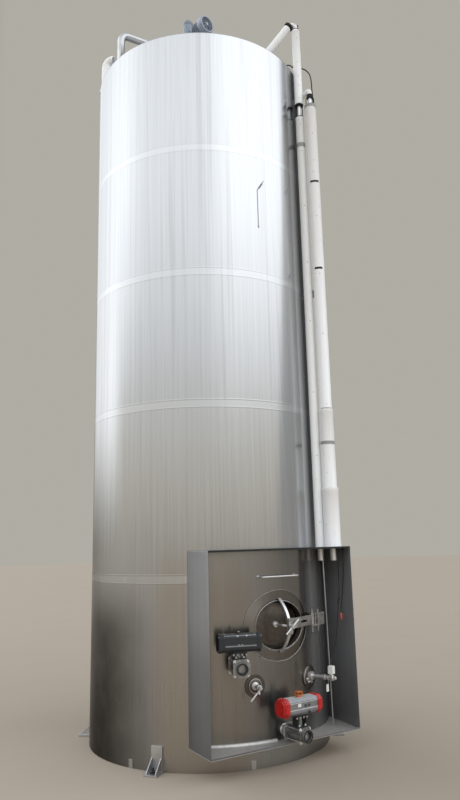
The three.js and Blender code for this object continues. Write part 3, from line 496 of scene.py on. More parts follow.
class Piece:
    """Closed solids gathered into one mesh, in metres from a spot in the frame given."""

    def __init__(self, place=None, spot=ORIGIN, mesh=None):
        self.place = place or Matrix.Identity(4)
        self.spot = spot
        self.mesh = mesh or bmesh.new()

    def placed(self, place):
        """The same piece, drawn on in a frame within its own."""
        return Piece(self.place @ Matrix.Translation(self.spot) @ place, mesh=self.mesh)

    def corner(self, point):
        """A new corner at a point counted from the piece's spot."""
        moved = [start + step for start, step in zip(self.spot, point)]
        return self.mesh.verts.new(self.place @ Vector(moved))

    def skinned(self, sections, closed=False, ends_first=False):
        """Skins sections of equally many points, or of one at a tip. It has ends unless it is closed."""
        sides = max(len(section) for section in sections)
        rings = []
        for section in sections:
            corners = [self.corner(point) for point in section]
            rings.append(corners * (sides // len(corners)))
        walls = []
        for low, high in zip(rings, rings[1:] + rings[:1] if closed else rings[1:]):
            for i in range(sides):
                j = (i + 1) % sides
                walls.append(tuple(dict.fromkeys((low[i], low[j], high[j], high[i]))))
        ends = [] if closed else [ring for ring in (rings[0], rings[-1]) if ring[0] != ring[1]]
        for face in ends + walls if ends_first else walls + ends:
            self.mesh.faces.new(face)
        return self

    def prism(self, outline, low, high, axis="z"):
        """Extrudes an outline: (x, y) pairs along z, (x, z) pairs along y or (y, z) pairs along x."""
        at = "xyz".index(axis)
        levels = sorted((low, high))
        sections = [[(*pair[:at], level, *pair[at:]) for pair in outline] for level in levels]
        return self.skinned(sections, ends_first=True)

    def block(self, low, high):
        outline = [(low[0], low[1]), (high[0], low[1]), (high[0], high[1]), (low[0], high[1])]
        return self.prism(outline, low[2], high[2])

    def turned(self, profile, start=ORIGIN, axis=UP, sides=48, closed=False):
        """Turns (distance, radius) pairs about the axis from start; a closed profile makes a ring."""
        along = Vector(axis).normalized()
        across, upward, _ = along.to_track_quat("Z", "Y").to_matrix().col
        sections = []
        for distance, radius in profile:
            centre = Vector(start) + along * distance
            circle = spokes(sides, radius) if radius else [(0, 0)]
            sections.append([centre + across * x + upward * y for x, y in circle])
        return self.skinned(sections, closed)

    def oval_turned(self, profile, closed=False):
        """Lofts ovals round the manway's axis: (distance out or ON_WALL, half width, half height)."""
        return self.skinned([manway_oval(*section) for section in profile], closed)

    def carried_round(self, outline, azimuths, closed):
        """Carries an outline of (height, distance from the axis) round the tank, or part of the way."""
        sections = [[(*out_at(azimuth, radius), z) for z, radius in outline] for azimuth in azimuths]
        return self.skinned(sections, closed)

    def rod(self, start, end, radius, sides=24, chamfer=0.0):
        """A round bar between two points, with its ends chamfered."""
        axis = Vector(end) - Vector(start)
        length = axis.length
        profile = [(0, radius - chamfer), (chamfer, radius), (length - chamfer, radius),
                   (length, radius - chamfer)]
        return self.turned(profile if chamfer else profile[1:3], start, axis, sides)

    def ring(self, start, axis, inner, outer, thickness, sides=48):
        """A flat ring."""
        profile = [(0, inner), (0, outer), (thickness, outer), (thickness, inner)]
        return self.turned(profile, start, axis, sides, closed=True)

    def collar(self, start, axis, levels, radii, sides=32):
        """A ring with a sloped edge: the levels of its foot, shoulder and top, its bore, outside and lip."""
        foot, shoulder, top = levels
        bore, outside, lip = radii
        profile = [(foot, bore), (foot, outside), (shoulder, outside), (top, lip), (top, bore)]
        return self.turned(profile, start, axis, sides, closed=True)

    def torus(self, centre, axis, radius, thickness, sides=48, section=10):
        profile = [(y, radius + x) for x, y in spokes(section, thickness)]
        return self.turned(profile, centre, axis, sides, closed=True)

    def tube(self, stations, radius, sides=16, closed=False):
        """Sweeps a circle along points."""
        stations = [Vector(station) for station in stations]
        last = len(stations) - 1
        side = None
        sections = []
        for index, here in enumerate(stations):
            ahead = stations[min(index + 1, last)] - stations[max(index - 1, 0)]
            if closed:
                ahead = stations[(index + 1) % (last + 1)] - stations[index - 1]
            ahead.normalize()
            side = ahead.orthogonal() if side is None else side - ahead * side.dot(ahead)
            side.normalize()
            upward = ahead.cross(side)
            sections.append([here + side * x + upward * y for x, y in spokes(sides, radius)])
        return self.skinned(sections, closed)

    def bolt(self, seat, axis, size, reach=0.0):
        """A hexagon head on a washer; size is the width across its flats. Reach adds a threaded end."""
        axis, seat = Vector(axis).normalized(), Vector(seat)
        self.turned([(-0.001, size * 0.95), (size * 0.14, size * 0.95)], seat, axis, 20)
        head = [(size * 0.12, size * 0.5), (size * 0.14, size * 0.577), (size * 0.72, size * 0.577),
                (size * 0.8, size * 0.5)]
        self.turned(head, seat, axis, 6)
        if reach:
            self.rod(seat, seat + axis * (size * 0.8 + reach), size * 0.3, 12, chamfer=size * 0.06)
        return self

    def screw(self, seat, axis, radius, height):
        """A cap screw with a sunk socket."""
        profile = [(-0.001, radius), (height * 0.85, radius), (height, radius * 0.88),
                   (height, radius * 0.5), (height * 0.5, radius * 0.45), (height * 0.5, 0)]
        return self.turned(profile, seat, axis, 16)

    def solid_of(self, node):
        """Copies a CAD node's solid, with its flat faces whole again."""
        copied = bmesh.new()
        copied.from_mesh(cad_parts[node].data)
        bmesh.ops.remove_doubles(copied, verts=copied.verts, dist=1e-6)
        flat = math.radians(0.5)
        bmesh.ops.dissolve_limit(copied, angle_limit=flat, verts=copied.verts, edges=copied.edges)
        data = bpy.data.meshes.new("copied")
        copied.to_mesh(data)
        copied.free()
        self.mesh.from_mesh(data)
        bpy.data.meshes.remove(data)
        return self

    def data(self, name):
        """The mesh's own data, with its faces turned outwards."""
        bmesh.ops.recalc_face_normals(self.mesh, faces=self.mesh.faces)
        data = bpy.data.meshes.new(name)
        self.mesh.to_mesh(data)
        self.mesh.free()
        return data

    def finish(self, name, finish, body=BODY, replaces=(), bevel=0.0, sharp=SHARP):
        """Makes the object, gives it its finish and lets it ride on its body."""
        data = self.data(name)
        data.polygons.foreach_set("use_smooth", [True] * len(data.polygons))
        data.set_sharp_from_angle(angle=math.radians(sharp))
        made = shown(name, data, finish)
        if bevel:
            edges = made.modifiers.new("edges", "BEVEL")
            edges.width = bevel
            edges.segments = 2
            edges.limit_method = "ANGLE"
            edges.angle_limit = math.radians(sharp)
            edges.harden_normals = True
        FINISHES[finish][0]
        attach(made, body)
        if replaces:
            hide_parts(*replaces)
        return made


def cut(target, cutter):
    """Cuts one object with another, which is then removed."""
    difference = target.modifiers.new("cut", "BOOLEAN")
    difference.object = cutter
    difference.operation = "DIFFERENCE"
    difference.solver = "EXACT"
    graph = bpy.context.evaluated_depsgraph_get()
    target.data = bpy.data.meshes.new_from_object(target.evaluated_get(graph))
    target.data.set_sharp_from_angle(angle=math.radians(SHARP))
    target.modifiers.clear()
    bpy.data.objects.remove(cutter)


def refined(name, node, finish, body=BODY, bevel=0.0015, sharp=SHARP):
    """A CAD solid with its edges broken and its round faces smooth."""
    return Piece().solid_of(node).finish(name, finish, body, [node], bevel, sharp)


# Cables

BOX_TOP = out_at(SENSOR[0], PROBE_HEAD + 0.018)
SENSOR_ROUTE = [(0.691, -1.120, 1.668), (0.688, -1.120, 1.560), (0.6845, -1.120, 1.430),
                (0.6765, -1.120, 1.266), (0.658, -1.125, 1.182), (0.614, -1.140, 0.970),
                (0.533, -1.180, 0.786), (0.460, -1.235, 0.762), (*BOX_TOP, 0.740), (*BOX_TOP, 0.7166)]
SPARE_ROUTE = [(0.727, -1.140, 1.668), (0.7285, -1.138, 1.560), (0.728, -1.130, 1.422),
               (0.711, -1.118, 1.240), (0.7035, -1.1045, 1.137), (0.703, -1.104, 1.107)]
TOP_ROUTE = [(0.442, -0.917, 6.557), (0.455, -0.935, 6.570), (0.487, -0.958, 6.594), (0.535, -0.960, 6.606),
             (0.590, -0.940, 6.613), (0.648, -0.962, 6.622), (0.700, -0.995, 6.598), (0.728, -1.026, 6.540),
             (0.729, -1.048, 6.455), (0.712, -1.074, 6.320), (0.697, -1.098, 6.200), (0.6905, -1.1055, 6.120),
             (0.690, -1.106, 6.0926)]
SENSOR_STEPS, SPARE_STEPS, TOP_STEPS = 72, 32, 60
TOP_CABLE_RADIUS = 0.006


def flowing(points, count):
    """A smooth centripetal curve through points, sampled at equal lengths."""
    knots = [Vector(point) for point in points]
    knots = [2 * knots[0] - knots[1], *knots, 2 * knots[-1] - knots[-2]]
    dense = []
    for before, start, end, after in zip(knots, knots[1:], knots[2:], knots[3:]):
        times = [0.0]
        for first, second in ((before, start), (start, end), (end, after)):
            times.append(times[-1] + math.sqrt((second - first).length))
        for step in range(40):
            time = times[1] + (times[2] - times[1]) * step / 40
            dense.append(centripetal((before, start, end, after), times, time))
    dense.append(knots[-2])
    lengths = [0.0]
    for first, second in zip(dense, dense[1:]):
        lengths.append(lengths[-1] + (second - first).length)
    found = []
    index = 0
    for step in range(count + 1):
        wanted = lengths[-1] * step / count
        while index < len(dense) - 2 and lengths[index + 1] < wanted:
            index += 1
        share = (wanted - lengths[index]) / (lengths[index + 1] - lengths[index])
        found.append(dense[index].lerp(dense[index + 1], min(max(share, 0.0), 1.0)))
    return found, lengths[-1]


def centripetal(knots, times, time):
    points = list(knots)
    for span in (1, 2):
        shares = [(time - times[i]) / (times[i + span] - times[i]) for i in range(len(points) - 1)]
        points = [first.lerp(second, share) for first, second, share in zip(points, points[1:], shares)]
    return points[0].lerp(points[1], (time - times[1]) / (times[2] - times[1]))


def cable(name, route, count, radius, node):
    """A round cable along its route."""
    stations, length = flowing(route, count)
    curve = bpy.data.curves.new(name, "CURVE")
    curve.dimensions = "3D"
    spline = curve.splines.new("POLY")
    spline.points.add(len(stations) - 1)
    for point, station in zip(spline.points, stations):
        point.co = (*station, 1.0)
    curve.bevel_depth = radius
    curve.bevel_resolution = 4
    curve.use_fill_caps = True
    made = shown(name, curve, "black_rubber")
    FINISHES["black_rubber"][0]
    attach(made, BODY)
    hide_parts(node)
    stations[0]


def add_cables():
    radius = bpy.context.scene.tank_sizes.cable_diameter / 2
    cap = Piece().turned([(-0.0015, 0.0), (-0.0015, 0.007), (0.008, 0.011), (0.046, 0.011), (0.056, 0.0085),
                          (0.0645, 0.0)], SPARE_ROUTE[-1], DOWN, 20)
    cap = cap.finish("spare_cable_plug", "pink_cap", replaces=["spare_cable_cap"])
    cable("box_cable", SENSOR_ROUTE, SENSOR_STEPS, radius, "sensor_cable")
    cable("hanging_cable", SPARE_ROUTE, SPARE_STEPS, radius, "spare_cable")
    cable("jacket_cable", TOP_ROUTE, TOP_STEPS, TOP_CABLE_RADIUS, "top_cable")
    glands = Piece()
    for x, y, _ in (SENSOR_ROUTE[0], SPARE_ROUTE[0]):
        glands.collar((x, y, ALCOVE_HIGH), DOWN, (0, 0.012, 0.02), (0.006, 0.013, 0.009), 6)
    route, _ = flowing(SENSOR_ROUTE, SENSOR_STEPS)
    joint_height = 1.21
    joint = min(range(len(route)), key=lambda index: abs(route[index].z - joint_height))
    glands.turned([(-0.03, 0.005), (-0.026, 0.0085), (0.026, 0.0085), (0.03, 0.005)], route[joint],
                  route[joint + 1] - route[joint], 12)
    glands.finish("cable_glands", "black_rubber")
    start, ahead = Vector(TOP_ROUTE[0]), Vector(TOP_ROUTE[2])
    gland = Piece().collar(start, ahead - start, (-0.015, 0.026, 0.034), (0.0075, 0.016, 0.011), 12)
    gland.rod((0.432, -0.945, 6.548), (0.432, -0.945, 6.605), 0.007, 8)
    gland.rod((0.432, -0.945, 6.590), (0.465, -0.945, 6.600), 0.006, 8)
    gland.finish("roof_cable_gland", "black_rubber")


# Tank body


def azimuth_of(root):
    return math.degrees(math.atan2(root[0], root[1]))


def add_shell():
    sizes = bpy.context.scene.tank_sizes
    sides = sizes.round_sides
    lower_walls = ["front_wall_left", "front_wall_right", "front_wall_over_manway",
                   "front_wall_under_manway", "lower_wall_left", "lower_wall_right"]
    for number, (low, high) in enumerate(zip([0.0, *SEAM_HEIGHTS], [*SEAM_HEIGHTS, SHELL_TOP]), 1):
        course = Piece().ring((0, 0, low), UP, INNER_RADIUS, TANK_RADIUS, high - low, sides)
        replaced = lower_walls if number == 1 else [f"shell_course_{number}"]
        course = course.finish(f"jacket_course_{number}", "sheet_steel", replaces=replaced)
        if number == 1:
            cut(course, Piece().prism(oval(*NECK), -1.3, -0.8, "y").finish("hole", "sheet_steel"))
    offset = sizes.weld_band / 2
    bead = [(-0.007, -0.002), (-0.007, 0.0001), (-0.003, 0.0005), (0.003, 0.0005), (0.007, 0.0001),
            (0.007, -0.002)]
    for number, middle in enumerate(WELD_HEIGHTS, 1):
        whole = middle > ALCOVE_HIGH
        right, left = (0, 360) if whole else (azimuth_of(RIGHT_ROOT) + 0.5, azimuth_of(LEFT_ROOT) + 359.5)
        azimuths = [right + (left - right) * step / sides for step in range(sides if whole else sides + 1)]
        weld = Piece()
        for height in (middle - offset, middle + offset):
            profile = [(height + along, TANK_RADIUS + proud) for along, proud in bead]
            weld.carried_round(profile, azimuths, closed=whole)
        weld.finish(f"girth_weld_{number}", "sheet_steel")
    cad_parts["tank_floor"].data.materials[0] = finish_named("sheet_steel")


def on_roof(x, y):
    """The point of the roof's surface there."""
    return x, y, ROOF_PEAK - (ROOF_PEAK - RIM_TOP) * math.hypot(x, y) / TANK_RADIUS


def add_roof():
    sides = bpy.context.scene.tank_sizes.round_sides
    inner = INNER_RADIUS - CLEARANCE
    under = RIM_TOP - 0.08
    skin = Piece().turned([
        (under + ROOF_PEAK - RIM_TOP, 0), (under, inner), (SHELL_TOP, inner), (SHELL_TOP, TANK_RADIUS),
        (RIM_TOP - 0.004, TANK_RADIUS), (RIM_TOP - 0.001, TANK_RADIUS - 0.002),
        (RIM_TOP, TANK_RADIUS - 0.006), (RIM_TOP + 0.001, TANK_RADIUS - 0.03), (ROOF_PEAK, 0),
    ], sides=sides)
    skin.finish("roof_skin", "sheet_steel", replaces=["roof"])
    bead = Piece().torus((0, 0, SHELL_TOP + 0.0035), UP, TANK_RADIUS - 0.003, 0.003, sides)
    bead.finish("rim_bead", "dressed_weld")

    refined("vent_bend", "roof_vent", "jacket_white", bevel=0.0008)
    refined("loop_pipe", "roof_loop_pipe", "dressed_weld", bevel=0.0)
    sleeve = Piece().turned([(6.54, 0.0495), (6.54, 0.0512), (6.838, 0.0512), (6.842, 0.0495)],
                            (*VENT_PLACE, 0), UP, closed=True)
    sleeve.finish("vent_sleeve", "jacket_white")
    flanges = Piece()
    for foot in LOOP_FEET:
        flanges.collar(on_roof(*foot), UP, (-0.02, 0.006, 0.012), (0.039, 0.058, 0.052))
    flanges.collar(on_roof(*VENT_PLACE), UP, (-0.02, 0.008, 0.014), (0.051, 0.068, 0.062))
    flanges.finish("roof_collars", "dressed_weld")


def add_agitator():
    drive = Matrix.Translation((*DRIVE_PLACE, 0)) @ turned_to(DRIVE_AZIMUTH)
    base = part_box("agitator_stand")[1].z
    roof = on_roof(*DRIVE_PLACE)[2]
    stand = Piece(drive)
    stand.turned([(roof - 0.03, 0), (roof - 0.03, 0.15), (roof + 0.02, 0.15), (roof + 0.024, 0.146),
                  (roof + 0.024, 0.054), (base - 0.018, 0.054), (base - 0.018, 0.08), (base, 0.08),
                  (base, 0)])
    for x, y in spokes(4, offset=0.5):
        stand.bolt((x * 0.067, y * 0.067, base - 0.018), DOWN, 0.013, reach=0.006)
        stand.bolt((x * 0.125, y * 0.125, roof + 0.024), UP, 0.016, reach=0.006)
    stand.finish("drive_stand", "polished_steel", replaces=["agitator_stand"], bevel=0.001)

    shaft = drive @ Matrix.Translation((MOTOR_OFFSET, 0, DRIVE_AXIS))
    box = Piece(drive)
    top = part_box("agitator_gearbox")[1].z
    box.turned([(base + CLEARANCE, 0), (base + CLEARANCE, 0.060), (base + 0.014, 0.060),
                (base + 0.016, 0.052), (DRIVE_AXIS - 0.052, 0.050), (DRIVE_AXIS - 0.045, 0.052),
                (top - 0.066, 0.052), (top - 0.064, 0.0505), (top - 0.058, 0.0505), (top - 0.056, 0.052),
                (top - 0.030, 0.052), (top - 0.022, 0.049), (top - 0.020, 0.038), (top - 0.006, 0.037),
                (top - 0.001, 0.031), (top, 0.022), (top, 0)])
    flank = box.placed(Matrix.Translation((MOTOR_OFFSET, 0, DRIVE_AXIS)))
    flank.turned([(-0.040, 0), (-0.040, 0.041), (-0.037, 0.044), (0.050, 0.044), (0.051, 0.048),
                  (0.060, 0.048), (0.060, 0)], ORIGIN, OUTWARD, 40)
    for x, y in spokes(6, offset=0.5):
        flank.screw((x * 0.036, 0.040, y * 0.036), (0, 1, 0), 0.004, 0.004)
        box.screw((x * 0.044, y * 0.044, top - 0.023), UP, 0.0035, 0.003)
    box.finish("drive_gearbox", "machine_paint", replaces=["agitator_gearbox"], bevel=0.0012)

    neck = Piece(shaft)
    neck.turned([(0.058, 0), (0.058, 0.036), (0.070, 0.036), (0.073, 0.033), (0.080, 0.033), (0.083, 0.036),
                 (0.089, 0.036), (0.089, 0)], ORIGIN, OUTWARD, 32)
    neck.turned([(0.2575, 0), (0.2575, 0.071), (0.2625, 0.071), (0.2625, 0)], ORIGIN, OUTWARD)
    neck.finish("drive_neck", "black_rubber")

    motor = Piece(shaft)
    start = MOTOR_START
    motor.turned([(start, 0), (start, 0.076), (start + 0.012, 0.076), (start + 0.014, 0.073),
                  (start + 0.018, 0.064), (0.201, 0.064), (0.201, 0)], ORIGIN, OUTWARD)
    for step in range(32):
        fin = motor.placed(Matrix.Rotation(math.tau * (step + 0.5) / 32, 4, "Y"))
        fin.block((0.060, -0.2, -0.0016), (0.0745, -start - 0.016, 0.0016))
    cowl = [(0.199, 0), (0.199, 0.080), (0.203, 0.088), (0.206, 0.090), (0.262, 0.090), (0.269, 0.087),
            (0.271, 0.082), (0.271, 0.072), (0.262, 0.070), (0.262, 0.0)]
    motor.turned(cowl, ORIGIN, OUTWARD)
    for radius in (0.030, 0.040, 0.050, 0.060):
        motor.torus((0, -0.2675, 0), OUTWARD, radius, 0.0018, 40, 6)
    for x, z in spokes(8, 0.071):
        motor.rod((0, -0.266, 0), (x, -0.266, z), 0.0018, 6)
    motor.turned([(0.261, 0), (0.261, 0.020), (0.2695, 0.018), (0.2705, 0.014), (0.2705, 0)],
                 ORIGIN, OUTWARD, 24)
    motor.finish("drive_motor", "motor_paint", replaces=["agitator_motor"], bevel=0.0008)


# Pipes


def heights_of(node):
    return [corner.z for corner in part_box(node)]


def jacket(name, node, place, sections, shoulder=0.0):
    """A round pipe jacket with rolled ends: (low, high, radius) of each section, and a sloped top."""
    bore = LINE_RADIUS + 0.0006
    lap = 0.0012
    profile = [(sections[0][0], bore)]
    for low, high, radius in sections:
        inside = radius - lap
        profile += [(low, inside - 0.003), (low + 0.003, radius), (low + 0.02, radius),
                    (low + 0.022, inside), (high - 0.032, inside), (high - 0.03, radius)]
        if shoulder:
            profile += [(high - shoulder, radius), (high, radius * 0.6)]
        else:
            profile += [(high - 0.003, radius), (high, inside - 0.003)]
    profile.append((sections[-1][1], bore))
    Piece().turned(profile, (*place, 0), UP, closed=True).finish(name, "jacket_white", replaces=[node])


def clamp_arch(piece, place, low, high, half_width):
    """An arch of round bar over a pipe, facing the front left."""
    across = half_width * Vector(FACING_ACROSS)
    corners = [(-1, low), (-1, high), (1, high), (1, low)]
    path = [Vector((*place, z)) + across * side for side, z in corners]
    piece.tube(bent(path, half_width * 0.8), 0.0045, 10)


def add_pipes():
    x1, y1 = CLEANING_PLACE
    x2, y2 = OVERFLOW_PLACE
    step, wide, widest = 2.93, 0.065, 0.075
    upper_low, upper_high = heights_of("cleaning_jacket_upper")
    riser_low, riser_high = heights_of("cleaning_jacket")
    drop_low, drop_high = heights_of("overflow_jacket")
    jacket("riser_jacket_upper", "cleaning_jacket_upper", CLEANING_PLACE,
           [(upper_low, upper_high, CLEANING_JACKET)], shoulder=0.025)
    jacket("riser_jacket", "cleaning_jacket", CLEANING_PLACE, [(riser_low, riser_high, CLEANING_JACKET)])
    jacket("drop_jacket", "overflow_jacket", OVERFLOW_PLACE,
           [(drop_low, step, wide), (step, drop_high, OVERFLOW_JACKET)])
    jacket("drop_jacket_lower", "overflow_jacket_lower", OVERFLOW_PLACE,
           [(*heights_of("overflow_jacket_lower"), widest)])
    refined("cleaning_line", "cleaning_pipe", "polished_steel", bevel=0.0)
    refined("overflow_line", "overflow_pipe", "polished_steel", bevel=0.0)
    refined("drain_line", "drain_tube", "dressed_weld", bevel=0.0)

    rivets = Piece()
    view = Vector((-0.5, -0.86, 0)).normalized()
    rows = [(CLEANING_PLACE, CLEANING_JACKET,
             (6.905, 6.62, 6.453, 6.346, 6.2, 5.9, 5.6, 5.0, 4.4, 3.8, 3.1, 2.5, 1.9)),
            (OVERFLOW_PLACE, OVERFLOW_JACKET, (5.75, 5.45, 4.85, 4.25, 3.65, 2.97))]
    for place, radius, heights in rows:
        for height in heights:
            seat = Vector((*place, height)) + view * (radius - 0.0015)
            rivets.turned([(-0.001, 0.0055), (0.0018, 0.004), (0.0024, 0)], seat, view, 12)
    rivets.finish("jacket_rivets", "cast_steel")

    tapes = Piece()
    for place, radius, height, width in ((CLEANING_PLACE, CLEANING_JACKET, 5.672, 0.045),
                                         (OVERFLOW_PLACE, wide, 2.612, 0.030),
                                         (OVERFLOW_PLACE, OVERFLOW_JACKET, drop_high - 0.018, 0.034)):
        tapes.ring((*place, height - width / 2), UP, radius - 0.004, radius + 0.0006, width)
    tapes.finish("jacket_tapes", "grey_tape")

    black = Piece()
    for height, radius in ((upper_low, 0.0425), (riser_high + 0.012, 0.036), (upper_high + 0.010, 0.026)):
        black.ring((x1, y1, height - 0.012), UP, LINE_RADIUS, radius, 0.012, 36)
    clamp_arch(black, CLEANING_PLACE, riser_high + 0.012, upper_low - 0.010, 0.033)
    clamp_arch(black, OVERFLOW_PLACE, drop_high + 0.018, drop_high + 0.105, 0.040)
    black.ring((x2, y2, drop_high + 0.083), UP, LINE_RADIUS, 0.031, 0.040, 32)
    wall_spot = Vector((0.6816, -0.860, 6.275))
    outward = Vector((-0.121, -0.993, 0))
    black.ring(wall_spot, -outward, LINE_RADIUS, 0.060, -0.018, 40)
    slope = (BRANCH_CORNER - BRANCH_FOOT).normalized()
    black.turned([(-0.013, LINE_RADIUS), (-0.013, 0.044), (-0.009, 0.049), (0.009, 0.049), (0.013, 0.044),
                  (0.013, LINE_RADIUS)], BRANCH_CORNER - slope * 0.118, slope, 36, closed=True)
    black.rod((x1 + 0.024, y1 - 0.010, 7.050), (x1 + 0.026, y1 - 0.010, 7.095), 0.006, 10)
    black.finish("pipe_clamps", "black_rubber", bevel=0.0006)
    patches = Piece()
    for height, start, end in ((5.223, -80, 10), (4.309, -80, 0), (step - 0.004, -90, 60)):
        outline = [out_at(angle, OVERFLOW_JACKET + 0.0005) for angle in range(start, end + 1, 10)]
        outline += [out_at(angle, OVERFLOW_JACKET - 0.003) for angle in range(end, start - 1, -10)]
        patches.placed(Matrix.Translation((x2, y2, height))).prism(outline, -0.010, 0.010)
    patches.finish("jacket_patches", "black_rubber")

    skin, bore = 0.040, LINE_RADIUS + 0.0006
    end = (BRANCH_CORNER - BRANCH_FOOT).length - 0.140
    branch = Piece().turned([
        (-0.06, 0), (-0.06, skin - 0.001), (end - 0.036, skin - 0.001), (end - 0.035, skin),
        (end - 0.003, skin), (end, skin - 0.003), (end, bore), (end - 0.03, bore), (end - 0.03, 0),
    ], BRANCH_FOOT, slope)
    branch.finish("branch_jacket", "jacket_white", replaces=["roof_branch_jacket"])
    elbows = Piece()
    elbows.tube(bent([BRANCH_CORNER - slope * 0.105, BRANCH_CORNER - slope * 0.002,
                      (x1, y1, upper_high + 0.012)], 0.038), 0.023, 24)
    drop = bent([wall_spot + outward * 0.06, (x2, y2, wall_spot.z), (x2, y2, wall_spot.z - 0.055)], 0.04)
    elbows.tube(drop, 0.024, 24)
    elbows.finish("white_elbows", "jacket_white")
    refined("pipe_strap", "pipe_clip", "dull_plate", bevel=0.001)


# Alcove


def wing_x(root, depth):
    """Where a wing's outer face stands at a depth in front of the tank's axis."""
    front = math.copysign(ALCOVE_FRONT_HALF_WIDTH, root[0])
    return root[0] + (front - root[0]) * (depth - root[1]) / (ALCOVE_FRONT - root[1])


def wall_line(first, last, height, count=80):
    """Points just proud of the wall between two azimuths."""
    azimuths = [first + (last - first) * step / count for step in range(count + 1)]
    return [(*out_at(azimuth, TANK_RADIUS + 0.002), height) for azimuth in azimuths]


def add_alcove():
    for name, node, finish in (("left_wing", "alcove_left_wing", "dull_plate"),
                               ("right_wing", "alcove_right_wing", "dull_plate"),
                               ("top_deck", "alcove_top_plate", "dull_plate"),
                               ("tray", "alcove_tray", "dusty_tray")):
        refined(name, node, finish, bevel=0.0008)

    folds = Piece()
    half = ALCOVE_FRONT_HALF_WIDTH
    folds.block((-half, -ALCOVE_FRONT, ALCOVE_LOW), (half, -ALCOVE_FRONT + 0.003, ALCOVE_LOW + 0.012))
    for root, side in ((LEFT_ROOT, -1), (RIGHT_ROOT, 1)):
        back = root[1]
        rows = [(wing_x(root, depth) + side * thick, -depth) for depth, thick in
                ((back, 0), (ALCOVE_FRONT, 0), (ALCOVE_FRONT, 0.0025), (back + 0.03, 0.0025))]
        folds.prism(rows, ALCOVE_HIGH - 0.030, ALCOVE_HIGH + 0.004)
    folds.finish("alcove_folds", "dull_plate", bevel=0.0006)
    # A black strip along the top deck's front edge: painted shadow where the deck's underside lies in shade
    seam = Piece().block((-half + 0.004, -ALCOVE_FRONT - 0.0006, ALCOVE_HIGH - 0.004),
                         (half - 0.004, -ALCOVE_FRONT + 0.004, ALCOVE_HIGH + 0.012))
    seam.finish("alcove_seal", "black_rubber")

    welds = Piece()
    left, right = azimuth_of(LEFT_ROOT) + 0.6, azimuth_of(RIGHT_ROOT) - 0.6
    for height in (ALCOVE_LOW + 0.002, ALCOVE_HIGH - 0.002):
        welds.tube(wall_line(left, right, height), 0.0045, 8)
    x, y, _ = wall_line(left - 0.15, right, 0)[0]
    welds.rod((x, y, ALCOVE_LOW), (x, y, ALCOVE_HIGH), 0.0045, 8)
    welds.finish("alcove_welds", "dressed_weld")
    # A light strip along the tray's back: painted highlight where the tray meets the wall
    strip = Piece().tube(wall_line(left, -2, ALCOVE_LOW + 0.003), 0.017, 8)
    strip.finish("tray_weld", "bright_strip")

    refined("hand_bar", "grab_bar", "polished_steel", bevel=0.0)
    feet = Piece()
    for x in (-0.165, 0.215):
        wall = math.sqrt(TANK_RADIUS ** 2 - x ** 2)
        feet.collar((x, -wall, 1.452), OUTWARD, (-0.01, 0.003, 0.005), (0.0085, 0.013, 0.010), 24)
    feet.finish("hand_bar_feet", "dressed_weld")

    knobs = Piece()
    for height in (1.145, 1.053):
        knobs.bolt((wing_x(RIGHT_ROOT, 1.20), -1.20, height), (1, 0, 0), 0.019, reach=0.012)
    knobs.finish("wing_bolts", "black_rubber")


# Manway


